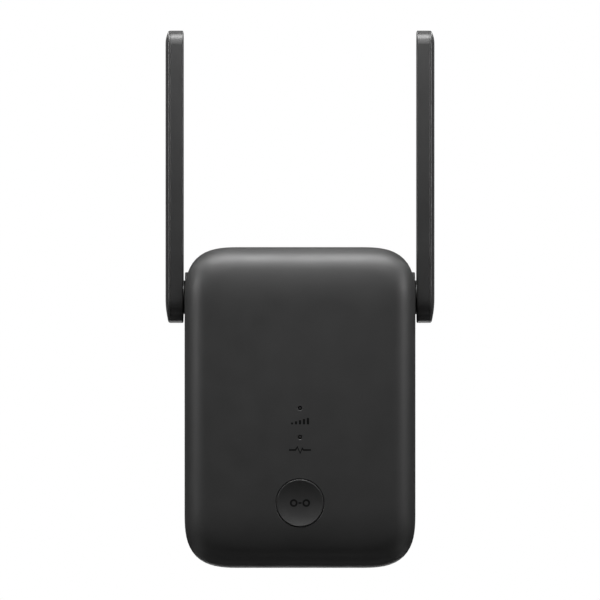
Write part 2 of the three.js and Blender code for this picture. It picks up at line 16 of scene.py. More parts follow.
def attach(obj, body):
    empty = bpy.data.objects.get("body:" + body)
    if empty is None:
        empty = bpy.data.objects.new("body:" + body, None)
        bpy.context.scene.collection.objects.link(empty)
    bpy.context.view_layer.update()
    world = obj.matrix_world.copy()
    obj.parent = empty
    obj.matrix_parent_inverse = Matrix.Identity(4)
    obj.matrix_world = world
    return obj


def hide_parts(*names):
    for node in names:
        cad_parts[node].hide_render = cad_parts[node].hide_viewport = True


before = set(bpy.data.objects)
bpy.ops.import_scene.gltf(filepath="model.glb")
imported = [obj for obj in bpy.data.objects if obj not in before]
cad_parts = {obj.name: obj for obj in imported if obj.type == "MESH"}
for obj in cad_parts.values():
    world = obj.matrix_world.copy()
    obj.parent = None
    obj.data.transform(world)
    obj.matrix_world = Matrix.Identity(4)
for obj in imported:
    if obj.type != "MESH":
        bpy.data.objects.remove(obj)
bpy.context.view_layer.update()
SCENE = bpy.context.scene
COLL = SCENE.collection
PI = math.pi
TO_M = Matrix.Scale(0.001, 4)

# ------------------------------------------------------------------ sizes, mm
HW, HH, ZC = 38.0, 52.8, -12.0  # half width and height of the housing, and its middle
CORNER, POWER = 18.5, 3.0
INNER = 0.62  # how fast the corners tighten towards the flat of the front
Y_FRONT, Y_PART, Y_REAR = -51.98, -40.0, -18.0
HINGE_Y, HINGE_Z = -30.0, 24.3
BUTTON_Z = -43.15
LED_Z = (-12.1, -21.6)
PIN_X = 9.3
BLADE_R, BLADE_TOP = 8.5, 112.4
BLADE_IN, BLADE_EDGE, BLADE_OUT = 38.6, 42.72, 44.49
SCREWS = {
    "top_left_case_screw": (-20, 33),
    "top_right_case_screw": (20, 33),
    "bottom_left_case_screw": (-29, -55),
    "bottom_right_case_screw": (29, -55),
}


# ------------------------------------------------------------- mesh building
def new_obj(name, bm, outward=True):
    if outward:
        bmesh.ops.recalc_face_normals(bm, faces=bm.faces)
    me = bpy.data.meshes.new(name)
    bm.to_mesh(me)
    bm.free()
    ob = bpy.data.objects.new(name, me)
    COLL.objects.link(ob)
    return ob


def loft(name, rings, caps=True):
    bm = bmesh.new()
    rows = [[bm.verts.new(p) for p in r] for r in rings]
    n = len(rings[0])
    for a, b in zip(rows, rows[1:]):
        for i in range(n):
            j = (i + 1) % n
            bm.faces.new((a[i], a[j], b[j], b[i]))
    if caps:
        bm.faces.new(list(reversed(rows[0])))
        bm.faces.new(rows[-1])
    return new_obj(name, bm)


def along(axis, u, v, w):
    """A point from its place across an axis, u and v, and along it, w."""
    if axis == "x":
        return (w, u, v)  # u is y, v is z
    if axis == "y":
        return (u, w, v)  # u is x, v is z
    return (u, v, w)  # u is x, v is y


def prism(name, axis, outline, a, b):
    return loft(name, [[along(axis, u, v, w) for u, v in outline] for w in (a, b)])


def circle(r, n, u=0.0, v=0.0):
    return [
        (u + r * math.cos(2 * PI * i / n), v + r * math.sin(2 * PI * i / n))
        for i in range(n)
    ]


def lathe(name, axis, profile, n, u=0.0, v=0.0):
    """Turned solid. profile is [radius, place along the axis]; radius 0 makes a pole."""
    bm = bmesh.new()
    rows = []
    for r, w in profile:
        if r < 1e-9:
            rows.append([bm.verts.new(along(axis, u, v, w))])
        else:
            rows.append(
                [bm.verts.new(along(axis, pu, pv, w)) for pu, pv in circle(r, n, u, v)]
            )
    closed = profile[0][0] > 1e-9
    pairs = list(zip(rows, rows[1:])) + ([(rows[-1], rows[0])] if closed else [])
    for a, b in pairs:
        for i in range(n):
            j = (i + 1) % n
            if len(a) == 1 and len(b) == 1:
                continue
            if len(a) == 1:
                bm.faces.new((a[0], b[j], b[i]))
            elif len(b) == 1:
                bm.faces.new((a[i], a[j], b[0]))
            else:
                bm.faces.new((a[i], a[j], b[j], b[i]))
    return new_obj(name, bm)


def box(name, x0, x1, y0, y1, z0, z1, r=0.0, seg=2):
    bm = bmesh.new()
    bmesh.ops.create_cube(bm, size=1.0)
    for v in bm.verts:
        v.co = (
            (x0 + x1) / 2 + v.co.x * (x1 - x0),
            (y0 + y1) / 2 + v.co.y * (y1 - y0),
            (z0 + z1) / 2 + v.co.z * (z1 - z0),
        )
    if r > 0:
        bmesh.ops.bevel(
            bm,
            geom=list(bm.edges),
            offset=r,
            segments=seg,
            profile=0.5,
            affect="EDGES",
            clamp_overlap=True,
        )
    return new_obj(name, bm)


def round_rect(w, h, r, n=6, u=0.0, v=0.0):
    """Outline of a rectangle of half sizes w, h with rounded corners."""
    pts = []
    for q, (su, sv) in enumerate(((1, 1), (-1, 1), (-1, -1), (1, -1))):
        for i in range(n + 1):
            a = q * PI / 2 + i / n * PI / 2
            pts.append(
                (u + su * (w - r) + r * math.cos(a), v + sv * (h - r) + r * math.sin(a))
            )
    return pts


def stroke(points, w):
    """Outline of a bent line of width w with mitred corners and square ends."""
    left, right = [], []
    n = len(points)
    for i, (x, z) in enumerate(points):
        dirs = []
        if i:
            dirs.append((x - points[i - 1][0], z - points[i - 1][1]))
        if i < n - 1:
            dirs.append((points[i + 1][0] - x, points[i + 1][1] - z))
        norms = []
        for dx, dz in dirs:
            d = math.hypot(dx, dz)
            norms.append((-dz / d, dx / d))
        nx, nz = sum(a for a, _ in norms) / len(norms), sum(b for _, b in norms) / len(norms)
        d = nx * norms[0][0] + nz * norms[0][1]
        m = w / 2 / max(d, 0.35)
        left.append((x + nx * m, z + nz * m))
        right.append((x - nx * m, z - nz * m))
    return left + right[::-1]


def joined(name, obs):
    bm = bmesh.new()
    for o in obs:
        bm.from_mesh(o.data)
        bpy.data.objects.remove(o)
    me = bpy.data.meshes.new(name)
    bm.to_mesh(me)
    bm.free()
    ob = bpy.data.objects.new(name, me)
    COLL.objects.link(ob)
    return ob


def boolean(ob, other, how="DIFFERENCE"):
    mod = ob.modifiers.new("b", "BOOLEAN")
    mod.operation, mod.solver, mod.object = how, "EXACT", other
    dg = bpy.context.evaluated_depsgraph_get()
    me = bpy.data.meshes.new_from_object(ob.evaluated_get(dg))
    ob.modifiers.clear()
    ob.data = me
    bpy.data.objects.remove(other)
    return ob


def cut(ob, *cutters):
    """Cutters that don't touch each other are taken away in one go."""
    return boolean(ob, joined("cutters", cutters))


def add(ob, *others):
    for o in others:
        boolean(ob, o, "UNION")
    return ob


class Skin:
    """The smooth normals of a surface before it is cut, so that cutting leaves no shading marks."""

    def __init__(self, ob, angle=30):
        me = ob.data.copy()
        bm = bmesh.new()
        bm.from_mesh(me)
        bmesh.ops.triangulate(bm, faces=bm.faces)
        bm.to_mesh(me)
        bm.free()
        me.polygons.foreach_set("use_smooth", [True] * len(me.polygons))
        me.set_sharp_from_angle(angle=math.radians(angle))
        self.co = [v.co.copy() for v in me.vertices]
        self.tris = [tuple(p.vertices) for p in me.polygons]
        self.nor = [
            [me.corner_normals[i].vector.copy() for i in p.loop_indices]
            for p in me.polygons
        ]
        self.flat = [p.normal.copy() for p in me.polygons]
        self.tree = BVHTree.FromPolygons(self.co, self.tris)

    def at(self, p):
        loc, _, i, d = self.tree.find_nearest(p)
        if i is None:
            return None
        a, b, c = (self.co[k] for k in self.tris[i])
        v0, v1, v2 = b - a, c - a, loc - a
        d00, d01, d11 = v0.dot(v0), v0.dot(v1), v1.dot(v1)
        d20, d21 = v2.dot(v0), v2.dot(v1)
        den = d00 * d11 - d01 * d01
        if abs(den) < 1e-14:
            return self.flat[i], self.flat[i], d
        v = (d11 * d20 - d01 * d21) / den
        w = (d00 * d21 - d01 * d20) / den
        n = self.nor[i]
        return (n[0] * (1 - v - w) + n[1] * v + n[2] * w).normalized(), self.flat[i], d


def smooth(ob, angle=30, skin=None):
    me = ob.data
    me.polygons.foreach_set("use_smooth", [True] * len(me.polygons))
    me.set_sharp_from_angle(angle=math.radians(angle))
    if skin is None:
        return ob
    normals = [c.vector.copy() for c in me.corner_normals]
    for p in me.polygons:
        c = p.center
        got = skin.at(c)
        if got is None or got[2] > 0.004 or got[1].dot(p.normal) < 0.99:
            continue
        for li in p.loop_indices:
            co = me.vertices[me.loops[li].vertex_index].co
            g = skin.at(co + (c - co) * 0.02)
            if g[1].dot(p.normal) > 0.9:
                normals[li] = g[0]
    me.normals_split_custom_set(normals)
    return ob


def clean(ob, dist=1e-4):
    bm = bmesh.new()
    bm.from_mesh(ob.data)
    bmesh.ops.remove_doubles(bm, verts=bm.verts, dist=dist)
    bmesh.ops.dissolve_degenerate(bm, edges=bm.edges, dist=dist)
    loose = [v for v in bm.verts if not v.link_faces]
    if loose:
        bmesh.ops.delete(bm, geom=loose, context="VERTS")
    bm.to_mesh(ob.data)
    bm.free()
    return ob


def place(ob, name, body, material, nodes=(), angle=30, skin=None):
    ob.name = name
    ob.data.name = name
    smooth(ob, angle, skin)
    ob.data.transform(TO_M)
    ob.data.materials.clear()
    ob.data.materials.append(material)
    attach(ob, body)
    if nodes:
        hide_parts(*([nodes] if isinstance(nodes, str) else nodes))
    return ob


def mirrored(ob):
    """A copy on the other side of the middle plane."""
    me = ob.data.copy()
    me.transform(Matrix.Scale(-1, 4, Vector((1, 0, 0))))
    me.flip_normals()
    other = bpy.data.objects.new("mirrored", me)
    COLL.objects.link(other)
    return other


# ------------------------------------------------------------------ materials
class Nodes:
    def __init__(self, name):
        self.m = bpy.data.materials.new(name)
        self.m.use_nodes = True
        self.t = self.m.node_tree
        self.p = self.t.nodes["Principled BSDF"]
        self.coord = self.t.nodes.new("ShaderNodeTexCoord").outputs["Object"]

    def link(self, a, b):
        self.t.links.new(a, b)

    def put(self, name, value):
        self.p.inputs[name].default_value = value

    def noise(self, size_mm, detail=2.0, rough=0.5, stretch=None):
        n = self.t.nodes.new("ShaderNodeTexNoise")
        n.inputs["Scale"].default_value = 1000.0 / size_mm
        n.inputs["Detail"].default_value = detail
        n.inputs["Roughness"].default_value = rough
        src = self.coord
        if stretch:
            m = self.t.nodes.new("ShaderNodeMapping")
            m.inputs["Scale"].default_value = stretch
            self.link(src, m.inputs["Vector"])
            src = m.outputs["Vector"]
        self.link(src, n.inputs["Vector"])
        return n.outputs["Fac"]

    def cells(self, size_mm, feature="F1"):
        n = self.t.nodes.new("ShaderNodeTexVoronoi")
        n.feature = feature
        n.inputs["Scale"].default_value = 1000.0 / size_mm
        self.link(self.coord, n.inputs["Vector"])
        return n.outputs["Distance"]

    def ramp(self, fac, stops):
        r = self.t.nodes.new("ShaderNodeValToRGB")
        e = r.color_ramp.elements
        while len(e) < len(stops):
            e.new(0.5)
        for i, (pos, col) in enumerate(stops):
            e[i].position = pos
            e[i].color = (*col, 1) if len(col) == 3 else col
        self.link(fac, r.inputs["Fac"])
        return r.outputs["Color"]

    def span(self, fac, lo, hi, f0=0.0, f1=1.0):
        m = self.t.nodes.new("ShaderNodeMapRange")
        m.inputs["From Min"].default_value = f0
        m.inputs["From Max"].default_value = f1
        m.inputs["To Min"].default_value = lo
        m.inputs["To Max"].default_value = hi
        self.link(fac, m.inputs["Value"])
        return m.outputs["Result"]

    def bump(self, height, mm, strength=1.0, after=None):
        b = self.t.nodes.new("ShaderNodeBump")
        b.inputs["Strength"].default_value = strength
        b.inputs["Distance"].default_value = mm / 1000.0
        self.link(height, b.inputs["Height"])
        if after:
            self.link(after, b.inputs["Normal"])
        return b.outputs["Normal"]


def grey(v):
    return (v, v, v)


def plastic(
    name, dark, light, rough=(0.42, 0.5), grain=0.32, depth=0.006, ior=1.5, big=14.0
):
    """Moulded plastic: a spark-eroded grain, cloudy gloss, and a faint change of tone."""
    n = Nodes(name)
    tone = n.noise(big, 3.0, 0.6)
    n.link(n.ramp(tone, [(0.3, dark), (0.7, light)]), n.p.inputs["Base Color"])
    n.link(
        n.span(n.noise(big * 0.45, 4.0, 0.65), rough[0], rough[1], 0.3, 0.7),
        n.p.inputs["Roughness"],
    )
    n.put("IOR", ior)
    fine = n.bump(n.noise(grain, 3.0, 0.6), depth, 0.6)
    n.link(n.bump(n.cells(grain * 1.7), depth * 0.7, 0.35, fine), n.p.inputs["Normal"])
    return n.m


def metal(name, dark, light, rough=(0.22, 0.36), stretch=(1, 1, 1), grain=0.5, depth=0.002):
    """Plated or drawn metal: fine lines along the axis that isn't stretched."""
    n = Nodes(name)
    n.put("Metallic", 1.0)
    lines = n.noise(grain, 5.0, 0.7, stretch)
    n.link(n.ramp(lines, [(0.3, dark), (0.75, light)]), n.p.inputs["Base Color"])
    n.link(n.span(lines, rough[0], rough[1], 0.25, 0.75), n.p.inputs["Roughness"])
    n.link(n.bump(lines, depth, 0.5), n.p.inputs["Normal"])
    return n.m


def laminate(name, mask_dark, mask_light):
    """Solder mask over glass cloth and tracks."""
    n = Nodes(name)
    w = n.t.nodes.new("ShaderNodeTexBrick")
    w.inputs["Scale"].default_value = 260.0
    w.inputs["Color1"].default_value = (*mask_dark, 1)
    w.inputs["Color2"].default_value = (*mask_light, 1)
    w.inputs["Mortar"].default_value = (*[c * 0.7 for c in mask_dark], 1)
    w.inputs["Mortar Size"].default_value = 0.06
    m = n.t.nodes.new("ShaderNodeMapping")
    m.inputs["Rotation"].default_value = (PI / 2, 0, 0)
    n.link(n.coord, m.inputs["Vector"])
    n.link(m.outputs["Vector"], w.inputs["Vector"])
    n.link(w.outputs["Color"], n.p.inputs["Base Color"])
    n.link(n.span(n.noise(3.0, 3.0), 0.28, 0.42, 0.3, 0.7), n.p.inputs["Roughness"])
    n.put("Coat Weight", 0.25)
    n.link(n.bump(w.outputs["Fac"], 0.01, 0.4), n.p.inputs["Normal"])
    return n.m


def sleeve(name, base, stripe, rough=0.3):
    """Printed shrink sleeve or tape with a soft gloss."""
    n = Nodes(name)
    f = n.noise(5.0, 4.0, 0.6)
    n.link(n.ramp(f, [(0.25, base), (0.75, stripe)]), n.p.inputs["Base Color"])
    n.link(n.span(f, rough - 0.05, rough + 0.1, 0.3, 0.7), n.p.inputs["Roughness"])
    n.link(n.bump(n.noise(0.6, 3.0), 0.01, 0.3), n.p.inputs["Normal"])
    return n.m


M = {
    "front": plastic("front_plastic", grey(0.0190), grey(0.0225), (0.44, 0.50)),
    "rear": plastic("rear_plastic", grey(0.0150), grey(0.0195), (0.48, 0.58), 0.5, 0.012),
    "antenna": plastic("antenna_plastic", grey(0.0190), grey(0.0225), (0.34, 0.39)),
    "button": plastic("button_plastic", grey(0.0175), grey(0.0205), (0.42, 0.48), 0.28, 0.004),
    "print": plastic("print_black", grey(0.0012), grey(0.0022), (0.62, 0.72), 0.2, 0.002, 1.2),
    "plug": plastic("plug_plastic", grey(0.0130), grey(0.0165), (0.42, 0.52), 0.4, 0.008),
    "sleeve": plastic("sleeve_plastic", grey(0.0080), grey(0.0105), (0.35, 0.45), 0.3, 0.003),
    "moulded": plastic("moulded_plastic", grey(0.0120), grey(0.0170), (0.40, 0.55), 0.4, 0.006),
    "pivot": plastic("pivot_nylon", grey(0.0200), grey(0.0280), (0.40, 0.50), 0.5, 0.006),
    "acetal": plastic("acetal_white", (0.62, 0.60, 0.55), (0.72, 0.70, 0.65), (0.35, 0.45), 0.6, 0.004),
    "nickel": metal("nickel_plate", (0.60, 0.57, 0.52), (0.76, 0.73, 0.68), (0.16, 0.26), (1, 0.08, 1)),
    "brass": metal("brass_strip", (0.60, 0.42, 0.17), (0.78, 0.58, 0.27), (0.24, 0.36), (1, 0.1, 1)),
    "gold": metal("gold_flash", (0.80, 0.56, 0.20), (0.92, 0.70, 0.32), (0.18, 0.28), (1, 1, 0.1)),
    "steel": metal("steel_bright", (0.44, 0.45, 0.46), (0.62, 0.63, 0.64), (0.26, 0.40), (1, 0.2, 1), 0.7),
    "screw": metal("screw_zinc", (0.34, 0.35, 0.37), (0.56, 0.57, 0.60), (0.28, 0.42), (1, 1, 1), 0.5),
    "tin": metal("tin_plate", (0.48, 0.49, 0.49), (0.64, 0.65, 0.65), (0.24, 0.42), (0.1, 1, 1), 1.2),
    "alu": metal("heat_aluminium", (0.52, 0.53, 0.54), (0.68, 0.69, 0.70), (0.30, 0.46), (1, 1, 0.06), 0.8, 0.006),
    "board": laminate("board_green", (0.010, 0.075, 0.028), (0.014, 0.095, 0.036)),
    "ferrite": plastic("ferrite_grey", grey(0.030), grey(0.050), (0.6, 0.75), 0.5, 0.02),
    "tape": sleeve("tape_yellow", (0.62, 0.40, 0.05), (0.75, 0.52, 0.08), 0.32),
    "can_sleeve": sleeve("capacitor_sleeve", (0.010, 0.018, 0.055), (0.016, 0.028, 0.080), 0.28),
    "fuse": sleeve("fuse_ceramic", (0.58, 0.55, 0.48), (0.70, 0.68, 0.62), 0.4),
    "xcap": sleeve("film_capacitor", (0.50, 0.33, 0.06), (0.58, 0.40, 0.09), 0.3),
    "pad": plastic("thermal_pad", (0.22, 0.26, 0.32), (0.28, 0.32, 0.38), (0.7, 0.85), 1.0, 0.03),
    "cable": sleeve("coax_jacket", grey(0.030), grey(0.045), 0.35),
    "led": sleeve("led_body", (0.72, 0.68, 0.50), (0.82, 0.80, 0.66), 0.3),
    "chip": sleeve("chip_ceramic", (0.30, 0.20, 0.11), (0.38, 0.27, 0.16), 0.45),
    "guide": plastic("guide_smoke", grey(0.006), grey(0.009), (0.60, 0.68), 0.8, 0.002),
}


# -------------------------------------------------------------- the housing
def body_ring(s, y, n=18, k=1.0, p=POWER):
    """Outline of the housing set in by s, with superellipse corners, at depth y."""
    w, h, a = HW - s, HH - s, max(1.0, CORNER - k * s)
    pts = []
    for q, (sx, sz) in enumerate(((1, 1), (-1, 1), (-1, -1), (1, -1))):
        for i in range(n + 1):
            f = i / n * PI / 2
            if q % 2:
                f = PI / 2 - f
            c, d = math.cos(f), math.sin(f)
            r = (max(c, 0) ** p + max(d, 0) ** p) ** (-1 / p)
            pts.append((sx * (w - a + a * r * c), y, ZC + sz * (h - a + a * r * d)))
    return pts


ROLL_R, TAIL_S, TAIL = 9.3, 0.25, 9.5  # front edge: radius, where its long run-out starts (sine), length
TILTS = (90, 84, 78.5, 73, 67.5, 62, 57, 52, 47, 42.5, 38, 34, 30, 26, 22, 18.5, 15, 12, 9.5, 7.5, 5.5, 4, 2.5, 1.2, 0)


def edge_curve(tilts, scale=1.0, tail=TAIL):
    """Inset and depth below the front of the rolled edge, from the side wall inwards."""
    out, u0, v, t0 = [], 0.0, 0.0, 90.0
    fine = 24
    for t1 in tilts:
        if t1 != t0:
            for k in range(fine):
                t = t0 + (t1 - t0) * (k + 1) / fine
                s = math.sin(math.radians(t))
                u = ROLL_R * (1 - s)
                if s < TAIL_S:
                    u += tail * ((TAIL_S - s) / TAIL_S) ** 2
                v += math.tan(math.radians(t - (t1 - t0) / fine / 2)) * (u - u0)
                u0 = u
        t0 = t1
        out.append((u0 * scale, v * scale))
    deep = out[-1][1]
    return [(u, deep - v) for u, v in out]


def front_rings(y_front, inset, y_end, tilts=TILTS, n=18):
    """From the parting plane up the side, over the rolled edge and on to the flat front."""
    prof = edge_curve(tilts, 1.0 - inset * 0.04, 0.0 if inset else TAIL)
    rings = [body_ring(inset, y_end, n, INNER)]
    rings += [body_ring(inset + u, y_front + v, n, INNER) for u, v in prof]
    return rings


def hole(name, x, z, r, chamfer, top, deep, n=48):
    """Cutter for a round hole with a softened mouth in a surface at y = top."""
    prof = [(0, top - 1.0), (r + chamfer, top - 1.0)]
    for i in range(7):
        f = i / 6 * PI / 2
        prof.append(
            (r + chamfer * (1 - math.sin(f)), top + chamfer * (1 - math.cos(f)))
        )
    prof += [(r, deep), (0, deep)]
    return lathe(name, "y", prof, n, x, z)


def front_cover():
    rings = front_rings(Y_FRONT, 0.0, Y_PART + 0.2)
    rings[0] = body_ring(0.0, Y_PART - 0.22)
    rings.insert(0, body_ring(0.16, Y_PART))
    ob = loft("front_cover_skin", rings)
    skin = Skin(ob)
    inner = loft(
        "inner", front_rings(Y_FRONT + 2.18, 2.0, Y_PART + 1.0, TILTS[::3], 10)
    )
    cut(ob, inner)
    # lip that goes into the rear half
    lip = loft("lip", [body_ring(1.15, y, 12) for y in (Y_PART - 1.2, Y_PART + 1.2)])
    cut(lip, loft("lip_in", [body_ring(1.98, y, 12) for y in (Y_PART - 2, Y_PART + 2)]))
    add(ob, lip)
    collar = lathe(
        "collar",
        "y",
        [(9.2, -46.5), (10.4, -46.5), (10.4, -50.2), (9.2, -50.2)],
        48,
        0,
        BUTTON_Z,
    )
    add(ob, collar)
    for x, z in SCREWS.values():
        add(
            ob,
            lathe(
                "boss",
                "y",
                [(0, -39.35), (3.1, -39.35), (3.15, -49.0 - 0.9 * (z > 0)), (0, -49.0 - 0.9 * (z > 0))],
                24,
                x,
                z,
            ),
        )
    cutters = [
        hole("button_hole", 0, BUTTON_Z, 7.97, 0.20, Y_FRONT, -46.0, 96),
        *[hole("led_hole", 0, z, 0.70, 0.22, Y_FRONT, -46.0, 32) for z in LED_Z],
        *[
            lathe("pilot", "y", [(0, -47.9), (1.45, -47.9), (1.45, -38), (0, -38)], 16, x, z)
            for x, z in SCREWS.values()
        ],
    ]
    cut(ob, *cutters)
    clean(ob)
    return place(
        ob, "front_cover_shell", "housing", M["front"], "front_cover", 30, skin
    )


front_cover()


# ------------------------------------------------------------------- plug
def plug_outline(g, n=4):
    """Flat two-pin plug's face as x, z pairs: 35.3 by 13.7 with softened cut corners."""
    w, h, c = 17.65 + g, 6.85 + g, 4.6
    raw = [(w, h - c), (w - c * 0.35, h - c * 0.35), (w - c, h)]
    pts = []
    for sx, sz, turn in ((1, 1, 0), (-1, 1, 1), (-1, -1, 0), (1, -1, 1)):
        line = [(sx * x, sz * z) for x, z in raw]
        if turn:
            line.reverse()
        # quadratic through each bend
        pts.append(line[0])
        for i in range(1, n):
            t = i / n
            a = [(1 - t) ** 2 * line[0][j] + 2 * t * (1 - t) * line[1][j] + t * t * line[2][j] for j in (0, 1)]
            b = [line[0][j] + (line[2][j] - line[0][j]) * t for j in (0, 1)]
            pts.append(((a[0] * 0.9 + b[0] * 0.1), (a[1] * 0.9 + b[1] * 0.1)))
        pts.append(line[2])
    return pts


def rear_cover():
    rings = [body_ring(0.16, Y_PART + 0.05), body_ring(0.0, Y_PART + 0.28)]
    r = 3.0
    for i in range(11):
        f = i / 10 * PI / 2
        rings.append(body_ring(r * (1 - math.cos(f)), Y_REAR - r * (1 - math.sin(f))))
    rings.append(body_ring(r + 0.5, Y_REAR))
    ob = loft("rear_cover_skin", rings)
    for s in (-1, 1):
        prof = [(0, 34.0), (8.3, 34.0), (8.3, 37.72)]
        prof += [
            (8.0 + 0.3 * math.cos(f), 37.72 + 0.3 * math.sin(f))
            for f in (PI / 8, PI / 4, 3 * PI / 8, PI / 2)
        ]
        prof += [(7.5, 38.02), (0, 38.02)]
        add(
            ob,
            lathe("pad", "x", [(a, s * b) for a, b in prof], 72, HINGE_Y, HINGE_Z),
        )
    clean(ob)
    skin = Skin(ob, 32)
    inner = [body_ring(2.0, Y_PART - 1, 10)]
    for i in range(5):
        f = i / 4 * PI / 2
        inner.append(body_ring(2 + 1.8 * (1 - math.cos(f)), -20.2 - 1.8 * (1 - math.sin(f)), 10))
    cut(ob, loft("inner", inner))
    cut(ob, loft("rebate", [body_ring(1.0, y, 12) for y in (Y_PART - 1, Y_PART + 1.4)]))
    for s in (-1, 1):
        add(
            ob,
            lathe(
                "boss",
                "x",
                [(4.95, s * 34.2), (8.3, s * 34.2), (8.3, s * 36.6), (4.95, s * 36.6)],
                40,
                HINGE_Y,
                HINGE_Z,
            ),
        )
    for x, z in SCREWS.values():
        add(ob, lathe("tube", "y", [(0, -37.85), (4.0, -37.85), (4.0, -19.5), (0, -19.5)], 32, x, z))
    for x in (-23, 23):
        add(ob, lathe("post", "y", [(0, -23.15), (2.6, -23.15), (2.6, -19.5), (0, -19.5)], 20, x, -26))
    # mouths that leave the rear face, the walls and the bosses
    def slot_y(x, z, w, h, a, b):
        return prism("slot", "y", round_rect(w, h, min(w, h) * 0.98, 4, x, z), a, b)

    cutters = [prism("plug_hole", "y", plug_outline(0.3), -30, -10)]
    for x, z in SCREWS.values():
        prof = [(0, -38.5), (1.5, -38.5), (1.5, -30), (2.9, -30), (2.9, -18.35)]
        prof += [(2.9 + 0.35 * (1 - math.cos(f)), -18.35 + 0.35 * math.sin(f)) for f in (PI / 8, PI / 4, 3 * PI / 8, PI / 2)]
        prof += [(3.25, -16), (0, -16)]
        cutters.append(lathe("counterbore", "y", prof, 40, x, z))
    for x in (-23, 23):
        cutters.append(lathe("pilot", "y", [(0, -24), (1.25, -24), (1.25, -19.4), (0, -19.4)], 16, x, -26))
    for z in (22.5, 19.3, 16.1):
        for s in (-1, 1):
            cutters.append(slot_y(s * 13.5, z, 10.5, 0.8, -21.5, -10))
    for s in (-1, 1):
        cutters.append(
            lathe("bore", "x", [(0, s * 30), (4.95, s * 30), (4.95, s * 40), (0, s * 40)], 48, HINGE_Y, HINGE_Z)
        )
    for i in range(11):
        x = -16 + 3.2 * i
        cutters.append(prism("vent", "z", round_rect(0.8, 5.75, 0.78, 4, x, -28.75), 36, 45))
    for x in (-19.4, -16.2, -13.0, 19.4):
        cutters.append(prism("vent", "z", round_rect(0.8, 5.75, 0.78, 4, x, -28.75), -70, -60))
    cutters.append(
        prism("jack_hole", "z", round_rect(8.3, 6.975, 0.5, 4, 0, -31.275), -70, -60)
    )
    cutters.append(
        lathe("reset_hole", "z", [(0, -60), (0.9, -60), (0.9, -64.5), (1.25, -65), (1.25, -70), (0, -70)], 24, 14.5, -36.2)
    )
    cut(ob, *cutters)
    clean(ob)
    return place(
        ob, "rear_cover_shell", "housing", M["rear"], "rear_cover", 32, skin
    )


rear_cover()


def plug():
    r = 0.6
    rings = [[(x, -20.0, z) for x, z in plug_outline(0)]]
    for i in range(6):
        f = i / 5 * PI / 2
        rings.append(
            [(x, -r * (1 - math.sin(f)), z) for x, z in plug_outline(-r * (1 - math.cos(f)))]
        )
    rings.append([(x, 0, z) for x, z in plug_outline(-r - 0.4)])
    ob = loft("plug_skin", rings)
    skin = Skin(ob, 32)
    add(ob, prism("flange", "y", plug_outline(2.2), -23.1, -20.3))
    add(ob, prism("neck", "y", plug_outline(-0.02), -22.0, -19.0))
    cut(ob, prism("hollow", "y", plug_outline(-2.0), -24, -3.2))
    cut(
        ob,
        *[
            lathe("pin_hole", "y", [(0, -4), (2.1, -4), (2.1, -0.25), (2.35, 0), (2.35, 1), (0, 1)], 40, s * PIN_X, 0)
            for s in (-1, 1)
        ],
    )
    clean(ob)
    place(ob, "plug_pedestal", "housing", M["plug"], "plug_block", 32, skin)
    for side, s in (("left", -1), ("right", 1)):
        tip = [(2.0 * math.cos(f), 17.4 + 1.6 * math.sin(f)) for f in [i / 8 * PI / 2 for i in range(9)]]
        tip[-1] = (0, 19.0)
        pin = lathe(
            side,
            "y",
            [(0, -6.5), (2.4, -6.5), (2.6, -6.3), (2.6, -3.35), (1.4, -3.3), (1.4, 10.05), (1.9, 10.05), (2.0, 10.15)]
            + tip,
            48,
            s * PIN_X,
            0,
        )
        place(pin, side + "_pin", "housing", M["nickel"], side + "_plug_pin", 30)
        tube = lathe(
            side,
            "y",
            [(1.5, -3.15), (1.95, -3.15), (1.95, 9.7), (1.75, 9.95), (1.5, 9.95)],
            40,
            s * PIN_X,
            0,
        )
        place(tube, side + "_sleeve", "housing", M["sleeve"], side + "_pin_sleeve", 30)


plug()


def contact_springs():
    """Leaf springs from the power board to the heads of the pins."""
    x0 = 12.6
    line = [(x0 - 3.2, -22.925), (x0 - 0.5, -22.925)]
    for i in range(1, 6):
        f = i / 6 * PI / 2
        line.append((x0 - 0.5 + 0.75 * math.sin(f), -22.175 - 0.75 * math.cos(f)))
    line += [(x0 + 0.25, -22.175), (x0 + 0.25, -10.2), (x0 + 0.21, -9.4), (x0 - 0.35, -4.43)]
    for side, s in (("left", -1), ("right", 1)):
        outline = [(s * x, y) for x, y in stroke(line, 0.44)]
        ob = prism("spring", "z", outline, -2, 2)
        # a slot down the leg lets its two halves flex on their own
        lo, hi = min(s * (x0 - 0.4), s * (x0 + 0.9)), max(s * (x0 - 0.4), s * (x0 + 0.9))
        cut(ob, prism("slit", "x", round_rect(5.2, 0.35, 0.3, 4, -13.5, 0), lo, hi))
        clean(ob)
        place(ob, side + "_leaf_spring", "housing", M["brass"], side + "_contact_spring", 30)


contact_springs()


# ------------------------------------------------------------------ button
def dish(r):
    return -51.18 - 0.79 * (min(r, 7.44) / 7.44) ** 2.3


def button():
    prof = [(0, dish(0))]
    prof += [(r, dish(r)) for r in [0.6 * i for i in range(1, 12)] + [7.0, 7.2, 7.36, 7.44]]
    # lip of the dish, then the outer wall, with a soft edge
    for i in range(9):
        f = i / 8 * PI / 2
        prof.append((7.50 + 0.26 * math.sin(f), -51.975 + 0.26 * (1 - math.cos(f))))
    prof += [(7.76, -49.6), (8.8, -49.6), (8.8, -48.8), (6.4, -48.8), (6.4, -50.1)]
    prof += [(1.9, -50.0), (1.9, -44.05), (0, -44.05)]
    ob = lathe("button", "y", prof, 96, 0, BUTTON_Z)
    place(ob, "pairing_button", "wps_button", M["button"], "wps_button", 34)


button()


